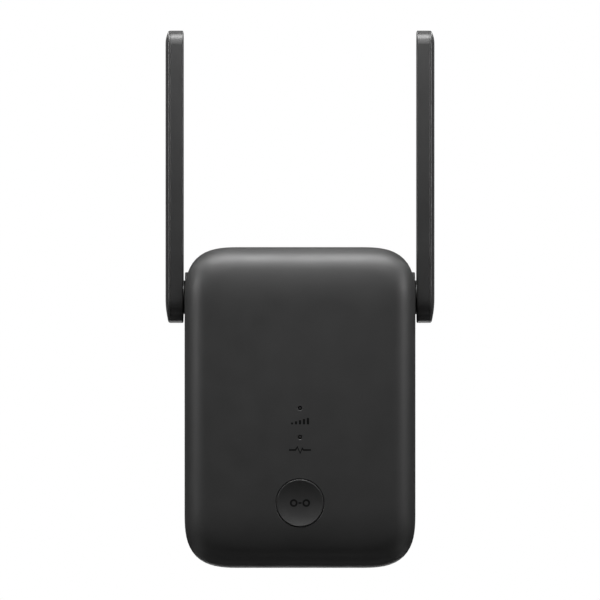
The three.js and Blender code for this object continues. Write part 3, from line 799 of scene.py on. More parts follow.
# ------------------------------------------------- printed marks, all generic
def print_mark(name, shapes, body, y_of, lift=0.012, step=0.12):
    """Thin raised ink: each shape is an outline with optional holes, as x, z pairs."""
    bm = bmesh.new()
    for outer, holes in shapes:
        edges = []
        for line in [outer, *holes]:
            vs = [bm.verts.new((x, 0, z)) for x, z in line]
            edges += [bm.edges.new((vs[i], vs[(i + 1) % len(vs)])) for i in range(len(vs))]
        bmesh.ops.triangle_fill(bm, use_beauty=True, use_dissolve=False, edges=edges, normal=(0, -1, 0))
    top = list(bm.faces)
    for f in top:
        if f.normal.y > 0:
            f.normal_flip()
    got = bmesh.ops.extrude_face_region(bm, geom=top)
    moved = [v for v in got["geom"] if isinstance(v, bmesh.types.BMVert)]
    moved_set = set(moved)
    for v in bm.verts:
        y = y_of(v.co.x, v.co.z)
        v.co.y = y - lift if v in moved_set else y + 0.08
    ob = new_obj(name, bm)
    return place(ob, name, body, M["print"], (), 30)


def arc_band(r0, r1, a0, a1, n=16, u=0.0, v=0.0):
    out = [(u + r1 * math.cos(a0 + (a1 - a0) * i / n), v + r1 * math.sin(a0 + (a1 - a0) * i / n)) for i in range(n + 1)]
    inn = [(u + r0 * math.cos(a1 - (a1 - a0) * i / n), v + r0 * math.sin(a1 - (a1 - a0) * i / n)) for i in range(n + 1)]
    return out + inn


def flat_front(x, z):
    return Y_FRONT


# rising bars under the upper light: signal strength
bars = []
for i in range(5):
    h = 0.6 + 0.38 * i
    bars.append((round_rect(0.37, h / 2, 0.1, 3, -2.6 + i * 1.3, -17.35 + h / 2), []))
print_mark("signal_mark", bars, "housing", flat_front)
# a pulse under the lower one: the system is running
z0 = -25.75
pulse = stroke(
    [(-3.6, z0), (-1.5, z0), (-0.85, z0 + 1.0), (0.05, z0 - 1.05), (0.75, z0 + 0.55), (1.15, z0), (3.6, z0)],
    0.52,
)
print_mark("system_mark", [(pulse, [])], "housing", flat_front)
# two rings joined by a bar for pairing, on the button
rings = [
    (circle(1.26, 40, x, BUTTON_Z), [circle(0.66, 32, x, BUTTON_Z)]) for x in (-2.05, 2.05)
]
rings.append((round_rect(0.56, 0.28, 0.2, 3, 0.0, BUTTON_Z), []))
print_mark(
    "pairing_mark", rings, "wps_button", lambda x, z: dish(math.hypot(x, z - BUTTON_Z))
)


# ---------------------------------------------------------------- antennas
ROUND = 2.4  # fullness of the round end at the pivot
EDGE_R, EDGE_END = 0.78, 0.27  # edge of the domed cover: radius, and tilt at which the dome starts


def blade_ring(x, s, top=None, n=32, c=10, rc=4.8):
    """Paddle's outline set in by s at x: half round about the pivot, small corners on top."""
    r = BLADE_R - s
    rc = max(0.3, min(rc - s * 0.55, r - 0.02))
    t = BLADE_TOP - (s if top is None else top)
    pts = []
    for i in range(n + 1):
        a = PI + i / n * PI
        u, v = math.cos(a), math.sin(a)
        q = (abs(u) ** ROUND + abs(v) ** ROUND) ** (-1 / ROUND)
        pts.append((x, HINGE_Y + r * u * q, HINGE_Z + r * v * q))
    for k in range(2):
        for i in range(c + 1):
            a = k * PI / 2 + i / c * PI / 2
            cy = HINGE_Y + (r - rc) * (1 if k == 0 else -1)
            pts.append((x, cy + rc * math.cos(a), t - rc + rc * math.sin(a)))
    return pts


def antenna():
    # tray, right-hand side
    r, xi = 0.34, BLADE_IN
    rings = [blade_ring(xi, r + 0.3)]
    for i in range(7):
        f = i / 6 * PI / 2
        rings.append(blade_ring(xi + r * (1 - math.cos(f)), r * (1 - math.sin(f))))
    rings += [blade_ring(BLADE_EDGE - 0.10, 0.0), blade_ring(BLADE_EDGE - 0.06, 0.03)]
    tray = loft("tray", rings)
    skin = Skin(tray)
    add(
        tray,
        lathe(
            "disc",
            "x",
            [(0, 38.14), (5.45, 38.14), (5.56, 38.18), (5.6, 38.29), (5.6, 38.9), (0, 38.9)],
            64,
            HINGE_Y,
            HINGE_Z,
        ),
    )
    cut(tray, loft("pocket", [blade_ring(x, 1.5) for x in (39.73, 44)]))
    cut(tray, lathe("pivot_hole", "x", [(0, 36), (3.9, 36), (3.9, 41), (0, 41)], 40, HINGE_Y, HINGE_Z))
    clean(tray)
    # domed cover: its edge turns from the flat side on to the dome
    fil, x0 = EDGE_R, BLADE_EDGE + 0.12
    rings = [blade_ring(BLADE_EDGE, 0.03), blade_ring(BLADE_EDGE + 0.04, 0.0), blade_ring(x0, 0.0)]
    last = PI / 2 - EDGE_END
    for i in range(1, 10):
        f = i / 9 * last
        s = fil * (1 - math.cos(f))
        rings.append(blade_ring(x0 + fil * math.sin(f), s, s * 0.8))
    x1, s1 = x0 + fil * math.sin(last), fil * (1 - math.cos(last))
    rise = BLADE_OUT - x1
    for i in range(1, 17):
        q = i / 16
        s = s1 + (8.0 - s1) * q
        rings.append(blade_ring(x1 + rise * (1 - (1 - q) ** 2), s, s1 * 0.8 + (s - s1) * 0.5))
    cover = loft("cover", rings)
    lip = loft("lip", [blade_ring(x, 1.7, n=20, c=6) for x in (41.88, 42.9)])
    cut(lip, loft("lip_in", [blade_ring(x, 2.6, n=20, c=6) for x in (41, 43.5)]))
    cover_skin = Skin(cover)
    add(cover, lip)
    clean(cover)
    return tray, skin, cover, cover_skin


tray, tray_skin, cover, cover_skin = antenna()
for side, s in (("left", -1), ("right", 1)):
    body = side + "_antenna"
    for what, ob, skin, node in (
        ("tray", tray, tray_skin, "_antenna_tray"),
        ("cover", cover, cover_skin, "_antenna_cover"),
    ):
        one = ob.copy()
        one.data = ob.data.copy()
        COLL.objects.link(one)
        smooth(one, 30, skin)
        if s < 0:
            normals = [c.vector.copy() for c in one.data.corner_normals]
            # mirror the mesh and its normals together
            flipped = one.data.copy()
            flipped.transform(Matrix.Scale(-1, 4, Vector((1, 0, 0))))
            flipped.flip_normals()
            one.data = flipped
            order = []
            for p, q in zip(ob.data.polygons, flipped.polygons):
                order.append((list(p.loop_indices), list(q.loop_indices)))
            out = [None] * len(normals)
            for src, dst in order:
                by_vert = {ob.data.loops[i].vertex_index: normals[i] for i in src}
                for j in dst:
                    v = by_vert[flipped.loops[j].vertex_index]
                    out[j] = Vector((-v.x, v.y, v.z))
            flipped.normals_split_custom_set(out)
        one.name = body + "_" + what
        one.data.name = one.name
        one.data.transform(TO_M)
        one.data.materials.clear()
        one.data.materials.append(M["antenna"])
        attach(one, body)
        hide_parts(side + node)
for o in (tray, cover):
    bpy.data.objects.remove(o)


# ------------------------------------------------------------------- inside
MAIN_F, MAIN_R = -39.2, -38.0  # faces of the main board
POWER_F, POWER_R = -24.8, -23.2  # faces of the power board
GAP = 0.05  # left where one piece stands on another


def shifted(ob, x=0.0, y=0.0, z=0.0):
    """A copy moved by so much, in millimetres."""
    other = ob.copy()
    other.data = ob.data.copy()
    COLL.objects.link(other)
    other.data.transform(Matrix.Translation((x, y, z)))
    return other


def tube(name, points, r, sides=16, per=8):
    """A round wire through the given points, along a centripetal spline."""
    pts = [Vector(p) for p in points]
    ends = [pts[0] * 2 - pts[1]] + pts + [pts[-1] * 2 - pts[-2]]
    line = []
    for i in range(len(pts) - 1):
        p = ends[i : i + 4]
        t = [0.0]
        for a, b in zip(p, p[1:]):
            t.append(t[-1] + max((b - a).length, 1e-6) ** 0.5)
        for k in range(per + (i == len(pts) - 2)):
            u = t[1] + (t[2] - t[1]) * k / per
            a1 = p[0].lerp(p[1], (u - t[0]) / (t[1] - t[0]))
            a2 = p[1].lerp(p[2], (u - t[1]) / (t[2] - t[1]))
            a3 = p[2].lerp(p[3], (u - t[2]) / (t[3] - t[2]))
            b1 = a1.lerp(a2, (u - t[0]) / (t[2] - t[0]))
            b2 = a2.lerp(a3, (u - t[1]) / (t[3] - t[1]))
            line.append(b1.lerp(b2, (u - t[1]) / (t[2] - t[1])))
    side = None
    rings = []
    for i, p in enumerate(line):
        d = (line[min(i + 1, len(line) - 1)] - line[max(i - 1, 0)]).normalized()
        if side is None:
            side = d.orthogonal().normalized()
        side = (side - d * side.dot(d)).normalized()
        up = d.cross(side)
        rings.append([p + side * u + up * v for u, v in circle(r, sides)])
    return loft(name, rings)


def screw(head_r, head_h, shank_r, length, way, pitch=1.15, n=24):
    """Pan-head screw with a cross recess. Its head sits at y = 0 and its shank runs the way given."""
    bm = bmesh.new()
    rows = [[bm.verts.new((0, way * length, 0))]]
    steps = int(length / pitch * 6)
    for k in range(steps, 0, -1):
        w = length * k / steps
        row = []
        for i in range(n):
            t = (w / pitch - i / n) % 1.0
            ridge = max(0.0, 1 - abs(t - 0.5) / 0.3)
            fade = max(0.0, min(1.0, (w - 0.3) / 0.9))
            point = min(1.0, 0.3 + (length - w) / 2.4)
            r = shank_r * (0.74 + 0.26 * ridge * fade) * point
            a = 2 * PI * i / n
            row.append(bm.verts.new((r * math.cos(a), way * w, r * math.sin(a))))
        rows.append(row)
    prof = [(shank_r * 0.8, 0.0), (head_r - 0.15, 0.0), (head_r, -0.12), (head_r, -head_h * 0.35)]
    for i in range(1, 6):
        f = i / 5 * PI / 2
        prof.append((head_r * (0.45 + 0.55 * math.cos(f)), -head_h * (0.35 + 0.65 * math.sin(f))))
    for r, w in prof:
        rows.append([bm.verts.new((u, way * w, v)) for u, v in circle(r, n)])
    rows.append([bm.verts.new((0, -way * head_h, 0))])
    for a, b in zip(rows, rows[1:]):
        for i in range(n):
            j = (i + 1) % n
            if len(a) == 1:
                bm.faces.new((a[0], b[i], b[j]))
            elif len(b) == 1:
                bm.faces.new((a[i], a[j], b[0]))
            else:
                bm.faces.new((a[i], a[j], b[j], b[i]))
    ob = new_obj("screw", bm)
    k = head_r / 2.5
    rings = []
    for y, long, half in ((-head_h - 0.1, 1.45 * k, 0.30 * k), (-head_h + 0.95 * k, 0.75 * k, 0.24 * k), (-head_h + 1.25 * k, 0.24 * k, 0.2 * k)):
        rings.append(
            [
                (x, way * y, z)
                for x, z in (
                    (long, half), (half, half), (half, long), (-half, long), (-half, half), (-long, half),
                    (-long, -half), (-half, -half), (-half, -long), (half, -long), (half, -half), (long, -half),
                )
            ]
        )
    cut(ob, loft("recess", rings))
    return clean(ob)


case_screw = screw(2.5, 1.8, 1.2, 17.05, -1)
for node, (x, z) in SCREWS.items():
    place(shifted(case_screw, x, -29.95, z), node.replace("_case", "") + "_cross_head", "housing", M["screw"], node, 35)
bpy.data.objects.remove(case_screw)
board_screw = screw(2.1, 1.4, 1.0, 4.6, 1, 0.9)
for side, x in (("left", -23), ("right", 23)):
    place(shifted(board_screw, x, -24.85, -26), side + "_board_screw_cross_head", "housing", M["screw"], side + "_board_screw", 35)
bpy.data.objects.remove(board_screw)


def jack():
    ym = (-37.95 - 24.6) / 2
    shell = prism("shell", "z", round_rect(8.0, 6.675, 0.6, 4, 0, ym), -64.6, -43.5)
    cut(shell, prism("inside", "z", round_rect(7.65, 6.325, 0.3, 3, 0, ym), -70, -43.85))
    windows = []
    for s in (-1, 1):
        # a spring finger on each side, left standing by the slot round it
        y, w, t = ym - 0.6, 2.1, 0.32
        u = [
            (y - w, -63.2), (y - w + t, -63.2), (y - w + t, -56.2 - t), (y + w - t, -56.2 - t),
            (y + w - t, -63.2), (y + w, -63.2), (y + w, -56.2), (y - w, -56.2),
        ]
        windows.append(prism("finger", "x", u, min(s * 7.3, s * 8.4), max(s * 7.3, s * 8.4)))
        windows.append(prism("lance", "x", round_rect(1.3, 0.5, 0.2, 3, ym + 2.5, -50.5), min(s * 7.3, s * 8.4), max(s * 7.3, s * 8.4)))
        windows.append(prism("lance", "y", round_rect(0.7, 1.6, 0.2, 3, s * 4.6, -55.5), -25.4, -24))
    cut(shell, *windows)
    clean(shell)
    place(shell, "jack_shell", "housing", M["tin"], "ethernet_jack_shell", 30)

    insert = prism("insert", "z", round_rect(7.45, 6.125, 0.4, 3, 0, ym), -64.5, -44.1)
    key = [
        (-5.9, -36.3), (5.9, -36.3), (5.9, -29.6), (3.15, -29.6), (3.15, -27.7), (1.7, -27.7),
        (1.7, -26.4), (-1.7, -26.4), (-1.7, -27.7), (-3.15, -27.7), (-3.15, -29.6), (-5.9, -29.6),
    ]
    cut(insert, prism("cavity", "z", key, -70, -51.5))
    grown = [(x * 1.07, ym + (y - ym) * 1.07) for x, y in key]
    mouth = loft("mouth", [[(x, y, -65.0) for x, y in grown], [(x, y, -64.45) for x, y in grown], [(x, y, -63.9) for x, y in key], [(x, y, -63.0) for x, y in key]])
    cut(insert, mouth)
    xs = [(i - 3.5) * 1.02 for i in range(8)]
    cut(insert, *[prism("comb", "z", [(x - 0.26, -36.95), (x + 0.26, -36.95), (x + 0.26, -36.0), (x - 0.26, -36.0)], -63.4, -51.9) for x in xs])
    clean(insert)
    place(insert, "jack_insert", "housing", M["moulded"], "ethernet_jack_insert", 30)
    wires = []
    path = [(-36.6, -63.1), (-36.55, -61.6), (-34.1, -54.4), (-34.0, -53.4), (-34.6, -52.5)]
    for x in xs:
        wires.append(prism("wire", "x", stroke(path, 0.26), x - 0.17, x + 0.17))
    place(joined("wires", wires), "jack_contacts", "housing", M["gold"], (), 35)


jack()


# boards, with their pads and small parts
def in_board(x, z, m):
    """Whether a point is on the main board, at least m from its edge."""
    cx, cz = 33 - 13, (37 - 62.2) / 2
    dx, dz = abs(x) - cx, abs(z - cz) - (49.6 - 13)
    if dx > 0 and dz > 0:
        return math.hypot(dx, dz) < 13 - m
    return abs(x) < 33 - m and abs(z - cz) < 49.6 - m


def boards():
    main = prism("main", "y", round_rect(33, 49.6, 13, 14, 0, (37 - 62.2) / 2), MAIN_F, MAIN_R)
    holes = [lathe("hole", "y", [(0, -41), (1.7, -41), (1.7, -36), (0, -36)], 28, x, z) for x, z in SCREWS.values()]
    cut(main, *holes)
    place(main, "main_board_laminate", "housing", M["board"], "main_board", 30)
    power = prism("power", "y", round_rect(27, 29.25, 1.2, 5, 0, -2.75), POWER_F, POWER_R)
    cut(
        power,
        *[lathe("hole", "y", [(0, -27), (1.5, -27), (1.5, -21), (0, -21)], 24, x, -26) for x in (-23, 23)],
        prism("gap", "y", round_rect(0.7, 8.5, 0.65, 4, -14.2, -7), -27, -21),
    )
    place(power, "power_board_laminate", "housing", M["board"], "power_board", 30)
    pads = []
    for x, z in SCREWS.values():
        pads.append(lathe("pad", "y", [(1.72, MAIN_F - 0.03), (2.9, MAIN_F - 0.03), (2.9, MAIN_F), (1.72, MAIN_F)], 28, x, z))
    for x in (-23, 23):
        pads.append(lathe("pad", "y", [(1.52, POWER_F - 0.03), (2.6, POWER_F - 0.03), (2.6, POWER_F), (1.52, POWER_F)], 24, x, -26))
    # solder joints on the back of the power board
    spots = [(-3 + 3 * i, z) for i in range(6) for z in (-10.8, 0.8)]
    spots += [(-22.0, 9), (-17.0, 9), (6.8, -18), (9.2, -18), (-12.6, 20.5), (-2.0, 20.5), (2.6, 18.6), (11.9, 18.6)]
    spots += [(19, 14), (24, 14)] + [(-9.6, 10.6 + 1.8 * i) for i in range(4)] + [(-18.5 + 2.0 * i, -28.0) for i in range(5)]
    for x, z in spots:
        prof = [(1.05, POWER_R), (1.0, POWER_R + 0.12), (0.62, POWER_R + 0.34), (0.42, POWER_R + 0.75), (0.34, POWER_R + 1.15), (0, POWER_R + 1.22), (0, POWER_R)]
        pads.append(lathe("joint", "y", prof, 14, x, z))
    place(joined("pads", pads), "solder_pads", "housing", M["tin"], (), 40)


boards()


def legs(x, z, w, n, pitch, out, y0, way, wide=0.36):
    """Gull-wing legs down both sides of a package that stands on y0 and rises the way given."""
    got = []
    for s in (-1, 1):
        line = [(s * (w - 0.2), 0.75), (s * (w + out * 0.3), 0.75), (s * (w + out * 0.5), 0.1), (s * (w + out), 0.1)]
        for i in range(n):
            zi = z + (i - (n - 1) / 2) * pitch
            prof = [(x + u, y0 + way * v) for u, v in stroke(line, 0.16)]
            got.append(prism("leg", "z", prof, zi - wide / 2, zi + wide / 2))
    return got


def package(x, z, w, h, t, y0, way, lift=0.12):
    """Moulded package: its sides lean in above and below the parting line. w and h are half sizes."""
    rings = []
    for inset, up in ((0.16, lift), (0.0, lift + (t - lift) * 0.45), (0.16, t - 0.05), (0.22, t)):
        rings.append([along("y", u, v, y0 + way * up) for u, v in round_rect(w - inset, h - inset, 0.12, 2, x, z)])
    ob = loft("package", rings)
    dot = lathe("dot", "y", [(0, y0 + way * (t + 0.2)), (0.26, y0 + way * (t + 0.2)), (0.2, y0 + way * (t - 0.08)), (0, y0 + way * (t - 0.08))], 14, x - w + 0.75, z + h - 0.75)
    return cut(ob, dot)


def small_parts():
    y0 = MAIN_F - 0.02
    black, leg, caps, tan, steel = [], [], [], [], []
    keep = [(-30, -4, 1, 28), (3, 29, 1, 28), (-2.6, 2.6, -25.0, -8.8), (-4.6, 4.6, -47.7, -38.6)]
    keep += [(x - 4, x + 4, z - 4, z + 4) for x, z in SCREWS.values()]
    for x, z, w, h, t, n, pitch in (
        (-17.5, -9.0, 2.0, 2.5, 1.6, 4, 1.27),
        (17.0, -33.0, 2.0, 5.0, 1.6, 8, 1.27),
        (-19.0, -24.0, 0.85, 1.5, 1.1, 3, 0.95),
        (11.5, -13.0, 0.85, 1.5, 1.1, 3, 0.95),
        (-11.0, -34.5, 3.5, 3.5, 0.95, 0, 0.5),
    ):
        black.append(package(x, z, w, h, t, y0, -1, 0.12 if n else 0.0))
        if n:
            leg += legs(x, z, w, n, pitch, 0.95, y0, -1)
        else:
            for k in range(12):
                c = (k - 5.5) * 0.5
                for a in (-1, 1):
                    leg.append(box("land", x + a * (w + 0.02) - 0.14, x + a * (w + 0.02) + 0.14, y0 - 0.1, y0, z + c - 0.13, z + c + 0.13))
                    leg.append(box("land", x + c - 0.13, x + c + 0.13, y0 - 0.1, y0, z + a * (h + 0.02) - 0.14, z + a * (h + 0.02) + 0.14))
        keep.append((x - w - 1.6, x + w + 1.6, z - h - 0.9, z + h + 0.9))
    # power inductors: a drum in a square ferrite frame
    for x, z in ((22.5, -14.5), (22.5, -21.5), (-25.5, -14.0)):
        ring_ = prism("frame", "y", round_rect(2.4, 2.4, 0.7, 3, x, z), y0 - 2.1, y0)
        cut(ring_, lathe("well", "y", [(0, y0 - 3), (1.85, y0 - 3), (1.85, y0 - 1.7), (0, y0 - 1.7)], 28, x, z))
        steel.append(ring_)
        steel.append(lathe("drum", "y", [(0, y0 - 2.0), (1.5, y0 - 2.0), (1.62, y0 - 1.9), (1.62, y0 - 1.5), (0, y0 - 1.5)], 28, x, z))
        keep.append((x - 3.2, x + 3.2, z - 3.2, z + 3.2))
    # crystal in its metal can
    leg.append(prism("crystal", "y", round_rect(1.6, 1.25, 0.4, 4, -4.5 - 2.5, -28.0), y0 - 0.8, y0 - 0.1))
    keep.append((-9.4, -4.6, -30, -26))
    # chip resistors and capacitors round the packages
    rng = random.Random(11)
    for i in range(-14, 15):
        for j in range(-28, 18):
            x, z = i * 2.15, j * 2.0
            if rng.random() > 0.17 or not in_board(x, z, 2.6):
                continue
            if any(a - 0.9 < x < b + 0.9 and c - 0.9 < z < d + 0.9 for a, b, c, d in keep):
                continue
            turn = rng.random() < 0.5
            a, b = (0.8, 0.4) if turn else (0.4, 0.8)
            t = 0.45 if rng.random() < 0.5 else 0.7
            body = tan if t > 0.5 else black
            body.append(box("chip", x - a + 0.02, x + a - 0.02, y0 - t + 0.03, y0 - 0.03, z - b + 0.02, z + b - 0.02))
            for s in (-1, 1):
                cx, cz = (x + s * (a - 0.17), z) if turn else (x, z + s * (b - 0.17))
                ca, cb = (0.19, b) if turn else (a, 0.19)
                caps.append(box("cap", cx - ca, cx + ca, y0 - t, y0, cz - cb, cz + cb))
    place(joined("chips", black), "board_packages", "housing", M["moulded"], (), 30)
    place(joined("legs", leg), "board_package_legs", "housing", M["tin"], (), 30)
    place(joined("tan", tan), "board_ceramic_chips", "housing", M["chip"], (), 30)
    place(joined("caps", caps), "board_chip_ends", "housing", M["tin"], (), 30)
    place(joined("coils", steel), "board_inductors", "housing", M["ferrite"], (), 30)


small_parts()


def can(name, x0, x1, z0, z1, h, node):
    y0, xm, zm, w, d = MAIN_F - GAP, (x0 + x1) / 2, (z0 + z1) / 2, (x1 - x0) / 2, (z1 - z0) / 2
    rings = [[along("y", u, v, y0) for u, v in round_rect(w, d, 0.9, 4, xm, zm)]]
    for i in range(5):
        f = i / 4 * PI / 2
        g = 0.35 * (1 - math.cos(f))
        rings.append([along("y", u, v, y0 - h + 0.35 * (1 - math.sin(f))) for u, v in round_rect(w - g, d - g, 0.9, 4, xm, zm)])
    ob = loft(name, rings)
    cut(ob, prism("inside", "y", round_rect(w - 0.25, d - 0.25, 0.65, 4, xm, zm), y0 - h + 0.25, y0 + 1))
    cutters = []
    # slits between the fingers of the lid, and a border of vent holes
    for i in range(-3, 4):
        for s in (-1, 1):
            cutters.append(prism("slit", "y", round_rect(0.16, 0.5, 0.1, 2, xm + i * 3.2, zm + s * d), y0 - 1.5, y0 + 0.5))
            cutters.append(prism("slit", "y", round_rect(0.5, 0.16, 0.1, 2, xm + s * w, zm + i * 3.2), y0 - 1.5, y0 + 0.5))
    for i in range(-4, 5):
        for s in (-1, 1):
            cutters.append(lathe("vent", "y", [(0, y0 - h - 1), (0.5, y0 - h - 1), (0.5, y0 - h + 1), (0, y0 - h + 1)], 12, xm + i * 2.4, zm + s * (d - 1.5)))
    cut(ob, *cutters)
    clean(ob)
    place(ob, name, "housing", M["tin"], node, 30)


can("radio_can", -29, -5, 2, 27, 2.6, "radio_shield_can")
can("processor_can", 4, 28, 2, 27, 2.6, "processor_shield_can")


def spreader():
    line = [(-27, -42.75), (27, -42.75), (27, -44.2)]
    for i in range(6, -1, -1):
        a, b = -26 + i * 8.4, -24.4 + i * 8.4
        for x, y in ((b + 0.35, -44.2), (b, -44.6), (b - 0.12, -47.2), (b - 0.35, -47.4), (a + 0.35, -47.4), (a + 0.12, -47.2), (a, -44.6), (a - 0.35, -44.2)):
            line.append((min(27, max(-27, x)), y))
    line.append((-27, -44.2))
    ob = prism("fins", "z", line, 1, 28)
    posts = [lathe("hole", "y", [(0, -46), (1.2, -46), (1.2, -42), (0, -42)], 24, x, z) for x, z in ((-21.4, 3.6), (20.6, 25.4))]
    cut(ob, *posts)
    clean(ob)
    place(ob, "finned_spreader", "housing", M["alu"], "heat_spreader", 30)
    rings = []
    for i in range(7):
        f = -PI / 2 + i / 6 * PI
        g = 0.35 * (1 - math.cos(f))
        rings.append([along("y", u, v, -42.3 + 0.4 * math.sin(f)) for u, v in round_rect(25.5 - g, 9.5 - g, 1.0, 4, -0.5, 14.5)])
    place(loft("pad", rings), "silicone_pad", "housing", M["pad"], "thermal_pad", 50)


spreader()


def led(name, z, node):
    y0 = MAIN_F - GAP
    ob = box(name, -0.9, 0.9, y0 - 0.8, y0 - 0.02, z - 0.65, z + 0.65, 0.06)
    cut(ob, lathe("cup", "y", [(0, y0 - 1), (0.56, y0 - 1), (0.42, y0 - 0.45), (0, y0 - 0.45)], 28, 0, z))
    place(ob, name, "housing", M["led"], node, 30)
    dome = lathe("dome", "y", [(0, y0 - 0.74), (0.25, y0 - 0.72), (0.49, y0 - 0.64), (0.44, y0 - 0.47), (0, y0 - 0.47)], 24, 0, z)
    ends = [box("end", s * 0.86 - 0.13, s * 0.86 + 0.13, y0 - 0.5, y0, z - 0.5, z + 0.5, 0.03) for s in (-1, 1)]
    place(dome, name + "_phosphor", "housing", M["tape"], (), 40)
    place(joined("ends", ends), name + "_ends", "housing", M["tin"], (), 30)


led("signal_light", LED_Z[0], "signal_led")
led("system_light", LED_Z[1], "system_led")


def light_guide():
    zm, d = (LED_Z[0] + LED_Z[1]) / 2, (LED_Z[0] - LED_Z[1]) / 2
    ob = prism("bridge", "y", round_rect(1.5, d + 2.2, 0.7, 5, 0, zm), -49.75, -48.2)
    for z in LED_Z:
        tip = [(0, -49), (0.62, -49), (0.62, -51.5)]
        tip += [(0.62 * math.cos(f), -51.5 - 0.24 * math.sin(f)) for f in (PI / 8, PI / 4, 3 * PI / 8)]
        add(ob, lathe("tip", "y", tip + [(0, -51.74)], 24, 0, z))
        add(ob, lathe("leg", "y", [(0, -48.9), (1.05, -48.9), (1.18, -40.4), (1.05, -40.2), (0, -40.15)], 28, 0, z))
    clean(ob)
    place(ob, "light_guide", "housing", M["guide"], "twin_light_guide", 35)


light_guide()


def switches():
    y0 = MAIN_F - GAP
    base = prism("base", "y", round_rect(3.0, 3.0, 0.5, 3, 0, BUTTON_Z), y0 - 3.15, y0)
    cut(base, lathe("bore", "y", [(0, -44), (1.95, -44), (1.95, -41.2), (0, -41.2)], 32, 0, BUTTON_Z))
    clean(base)
    place(base, "wps_switch_base", "housing", M["moulded"], "wps_switch_body", 30)
    plate = prism("plate", "y", round_rect(2.95, 2.95, 0.5, 3, 0, BUTTON_Z), y0 - 3.42, y0 - 3.18)
    cut(plate, lathe("bore", "y", [(0, -44), (1.98, -44), (1.98, -41), (0, -41)], 32, 0, BUTTON_Z))
    bits = [plate]
    for a in (-1, 1):
        for b in (-1, 1):
            bits.append(lathe("rivet", "y", [(0, y0 - 3.5), (0.3, y0 - 3.48), (0.45, y0 - 3.36), (0.45, y0 - 3.3), (0, y0 - 3.3)], 14, a * 2.25, BUTTON_Z + b * 2.25))
            leg = [(a * 2.9, 1.2), (a * 3.35, 1.2), (a * 3.6, 0.1), (a * 4.2, 0.1)]
            bits.append(prism("leg", "z", [(u, y0 - v) for u, v in stroke(leg, 0.18)], BUTTON_Z + b * 2.1 - 0.35, BUTTON_Z + b * 2.1 + 0.35))
    place(joined("plate", bits), "wps_switch_plate", "housing", M["tin"], (), 30)
    prof = [(0, -44.0), (1.35, -44.0), (1.58, -43.9), (1.65, -43.7), (1.65, -41.9), (1.55, -41.8), (0, -41.8)]
    place(lathe("plunger", "y", prof, 32, 0, BUTTON_Z), "wps_plunger", "wps_switch_plunger", M["acetal"], "wps_switch_plunger", 35)

    y0 = MAIN_R + GAP
    base = prism("base", "y", round_rect(3.0, 1.85, 0.3, 3, 14.5, -58.4), y0, y0 + 3.25)
    cut(base, box("bore", 13.4, 15.6, -37.2, -35.2, -61, -58.6))
    clean(base)
    place(base, "reset_switch_base", "housing", M["moulded"], "reset_switch_body", 30)
    bits = [box("lid", 11.55, 17.45, y0 + 3.28, y0 + 3.48, -60.25, -56.55, 0.06)]
    for a in (-1, 1):
        leg = [(14.5 + a * 2.9, 1.0), (14.5 + a * 3.3, 1.0), (14.5 + a * 3.5, 0.1), (14.5 + a * 4.0, 0.1)]
        for z in (-59.6, -57.3):
            bits.append(prism("leg", "z", [(u, y0 + v) for u, v in stroke(leg, 0.18)], z - 0.3, z + 0.3))
    place(joined("lid", bits), "reset_switch_plate", "housing", M["tin"], (), 30)
    place(
        box("plunger", 13.6, 15.4, -37.0, -35.4, -61.6, -59.0, 0.22, 3),
        "reset_plunger",
        "reset_switch_plunger",
        M["acetal"],
        "reset_switch_plunger",
        35,
    )


switches()


def rear_side_parts():
    y0 = MAIN_R + GAP
    rings = []
    for g, up in ((0.35, 0.25), (0.0, 2.4), (0.3, 4.9), (0.4, 5.0)):
        rings.append([along("y", u, v, y0 + up) for u, v in round_rect(5.6 - g, 4.8 - g, 0.25, 3, 0, -36.2)])
    place(loft("magnetics", rings), "line_transformer_body", "housing", M["moulded"], "line_transformer", 30)
    place(joined("legs", legs(0, -36.2, 5.4, 7, 1.27, 1.15, y0, 1, 0.45)), "line_transformer_legs", "housing", M["tin"], (), 30)
    # link between the boards: two combs of plastic with five square pins through them
    strips = []
    for a, b in ((y0, y0 + 2.5), (-27.35, POWER_F - GAP)):
        cells = []
        for i in range(5):
            x = -14.25 + (i - 2) * 2.08
            cells += [(x - 1.03, -29.0), (x - 0.84, -29.3), (x + 0.84, -29.3), (x + 1.03, -29.0)]
        back = [(x, -56.1 - z) for x, z in reversed(cells)]
        strips.append(prism("strip", "y", cells + back, a, b))
    place(joined("strips", strips), "link_header", "housing", M["moulded"], "board_link_header", 30)
    pins = []
    for i in range(5):
        x = -14.25 + (i - 2) * 2.08
        pins.append(box("pin", x - 0.25, x + 0.25, y0 + 2.4, -27.25, -28.3, -27.8, 0.04, 1))
    place(joined("pins", pins), "link_header_pins", "housing", M["gold"], (), 30)


rear_side_parts()


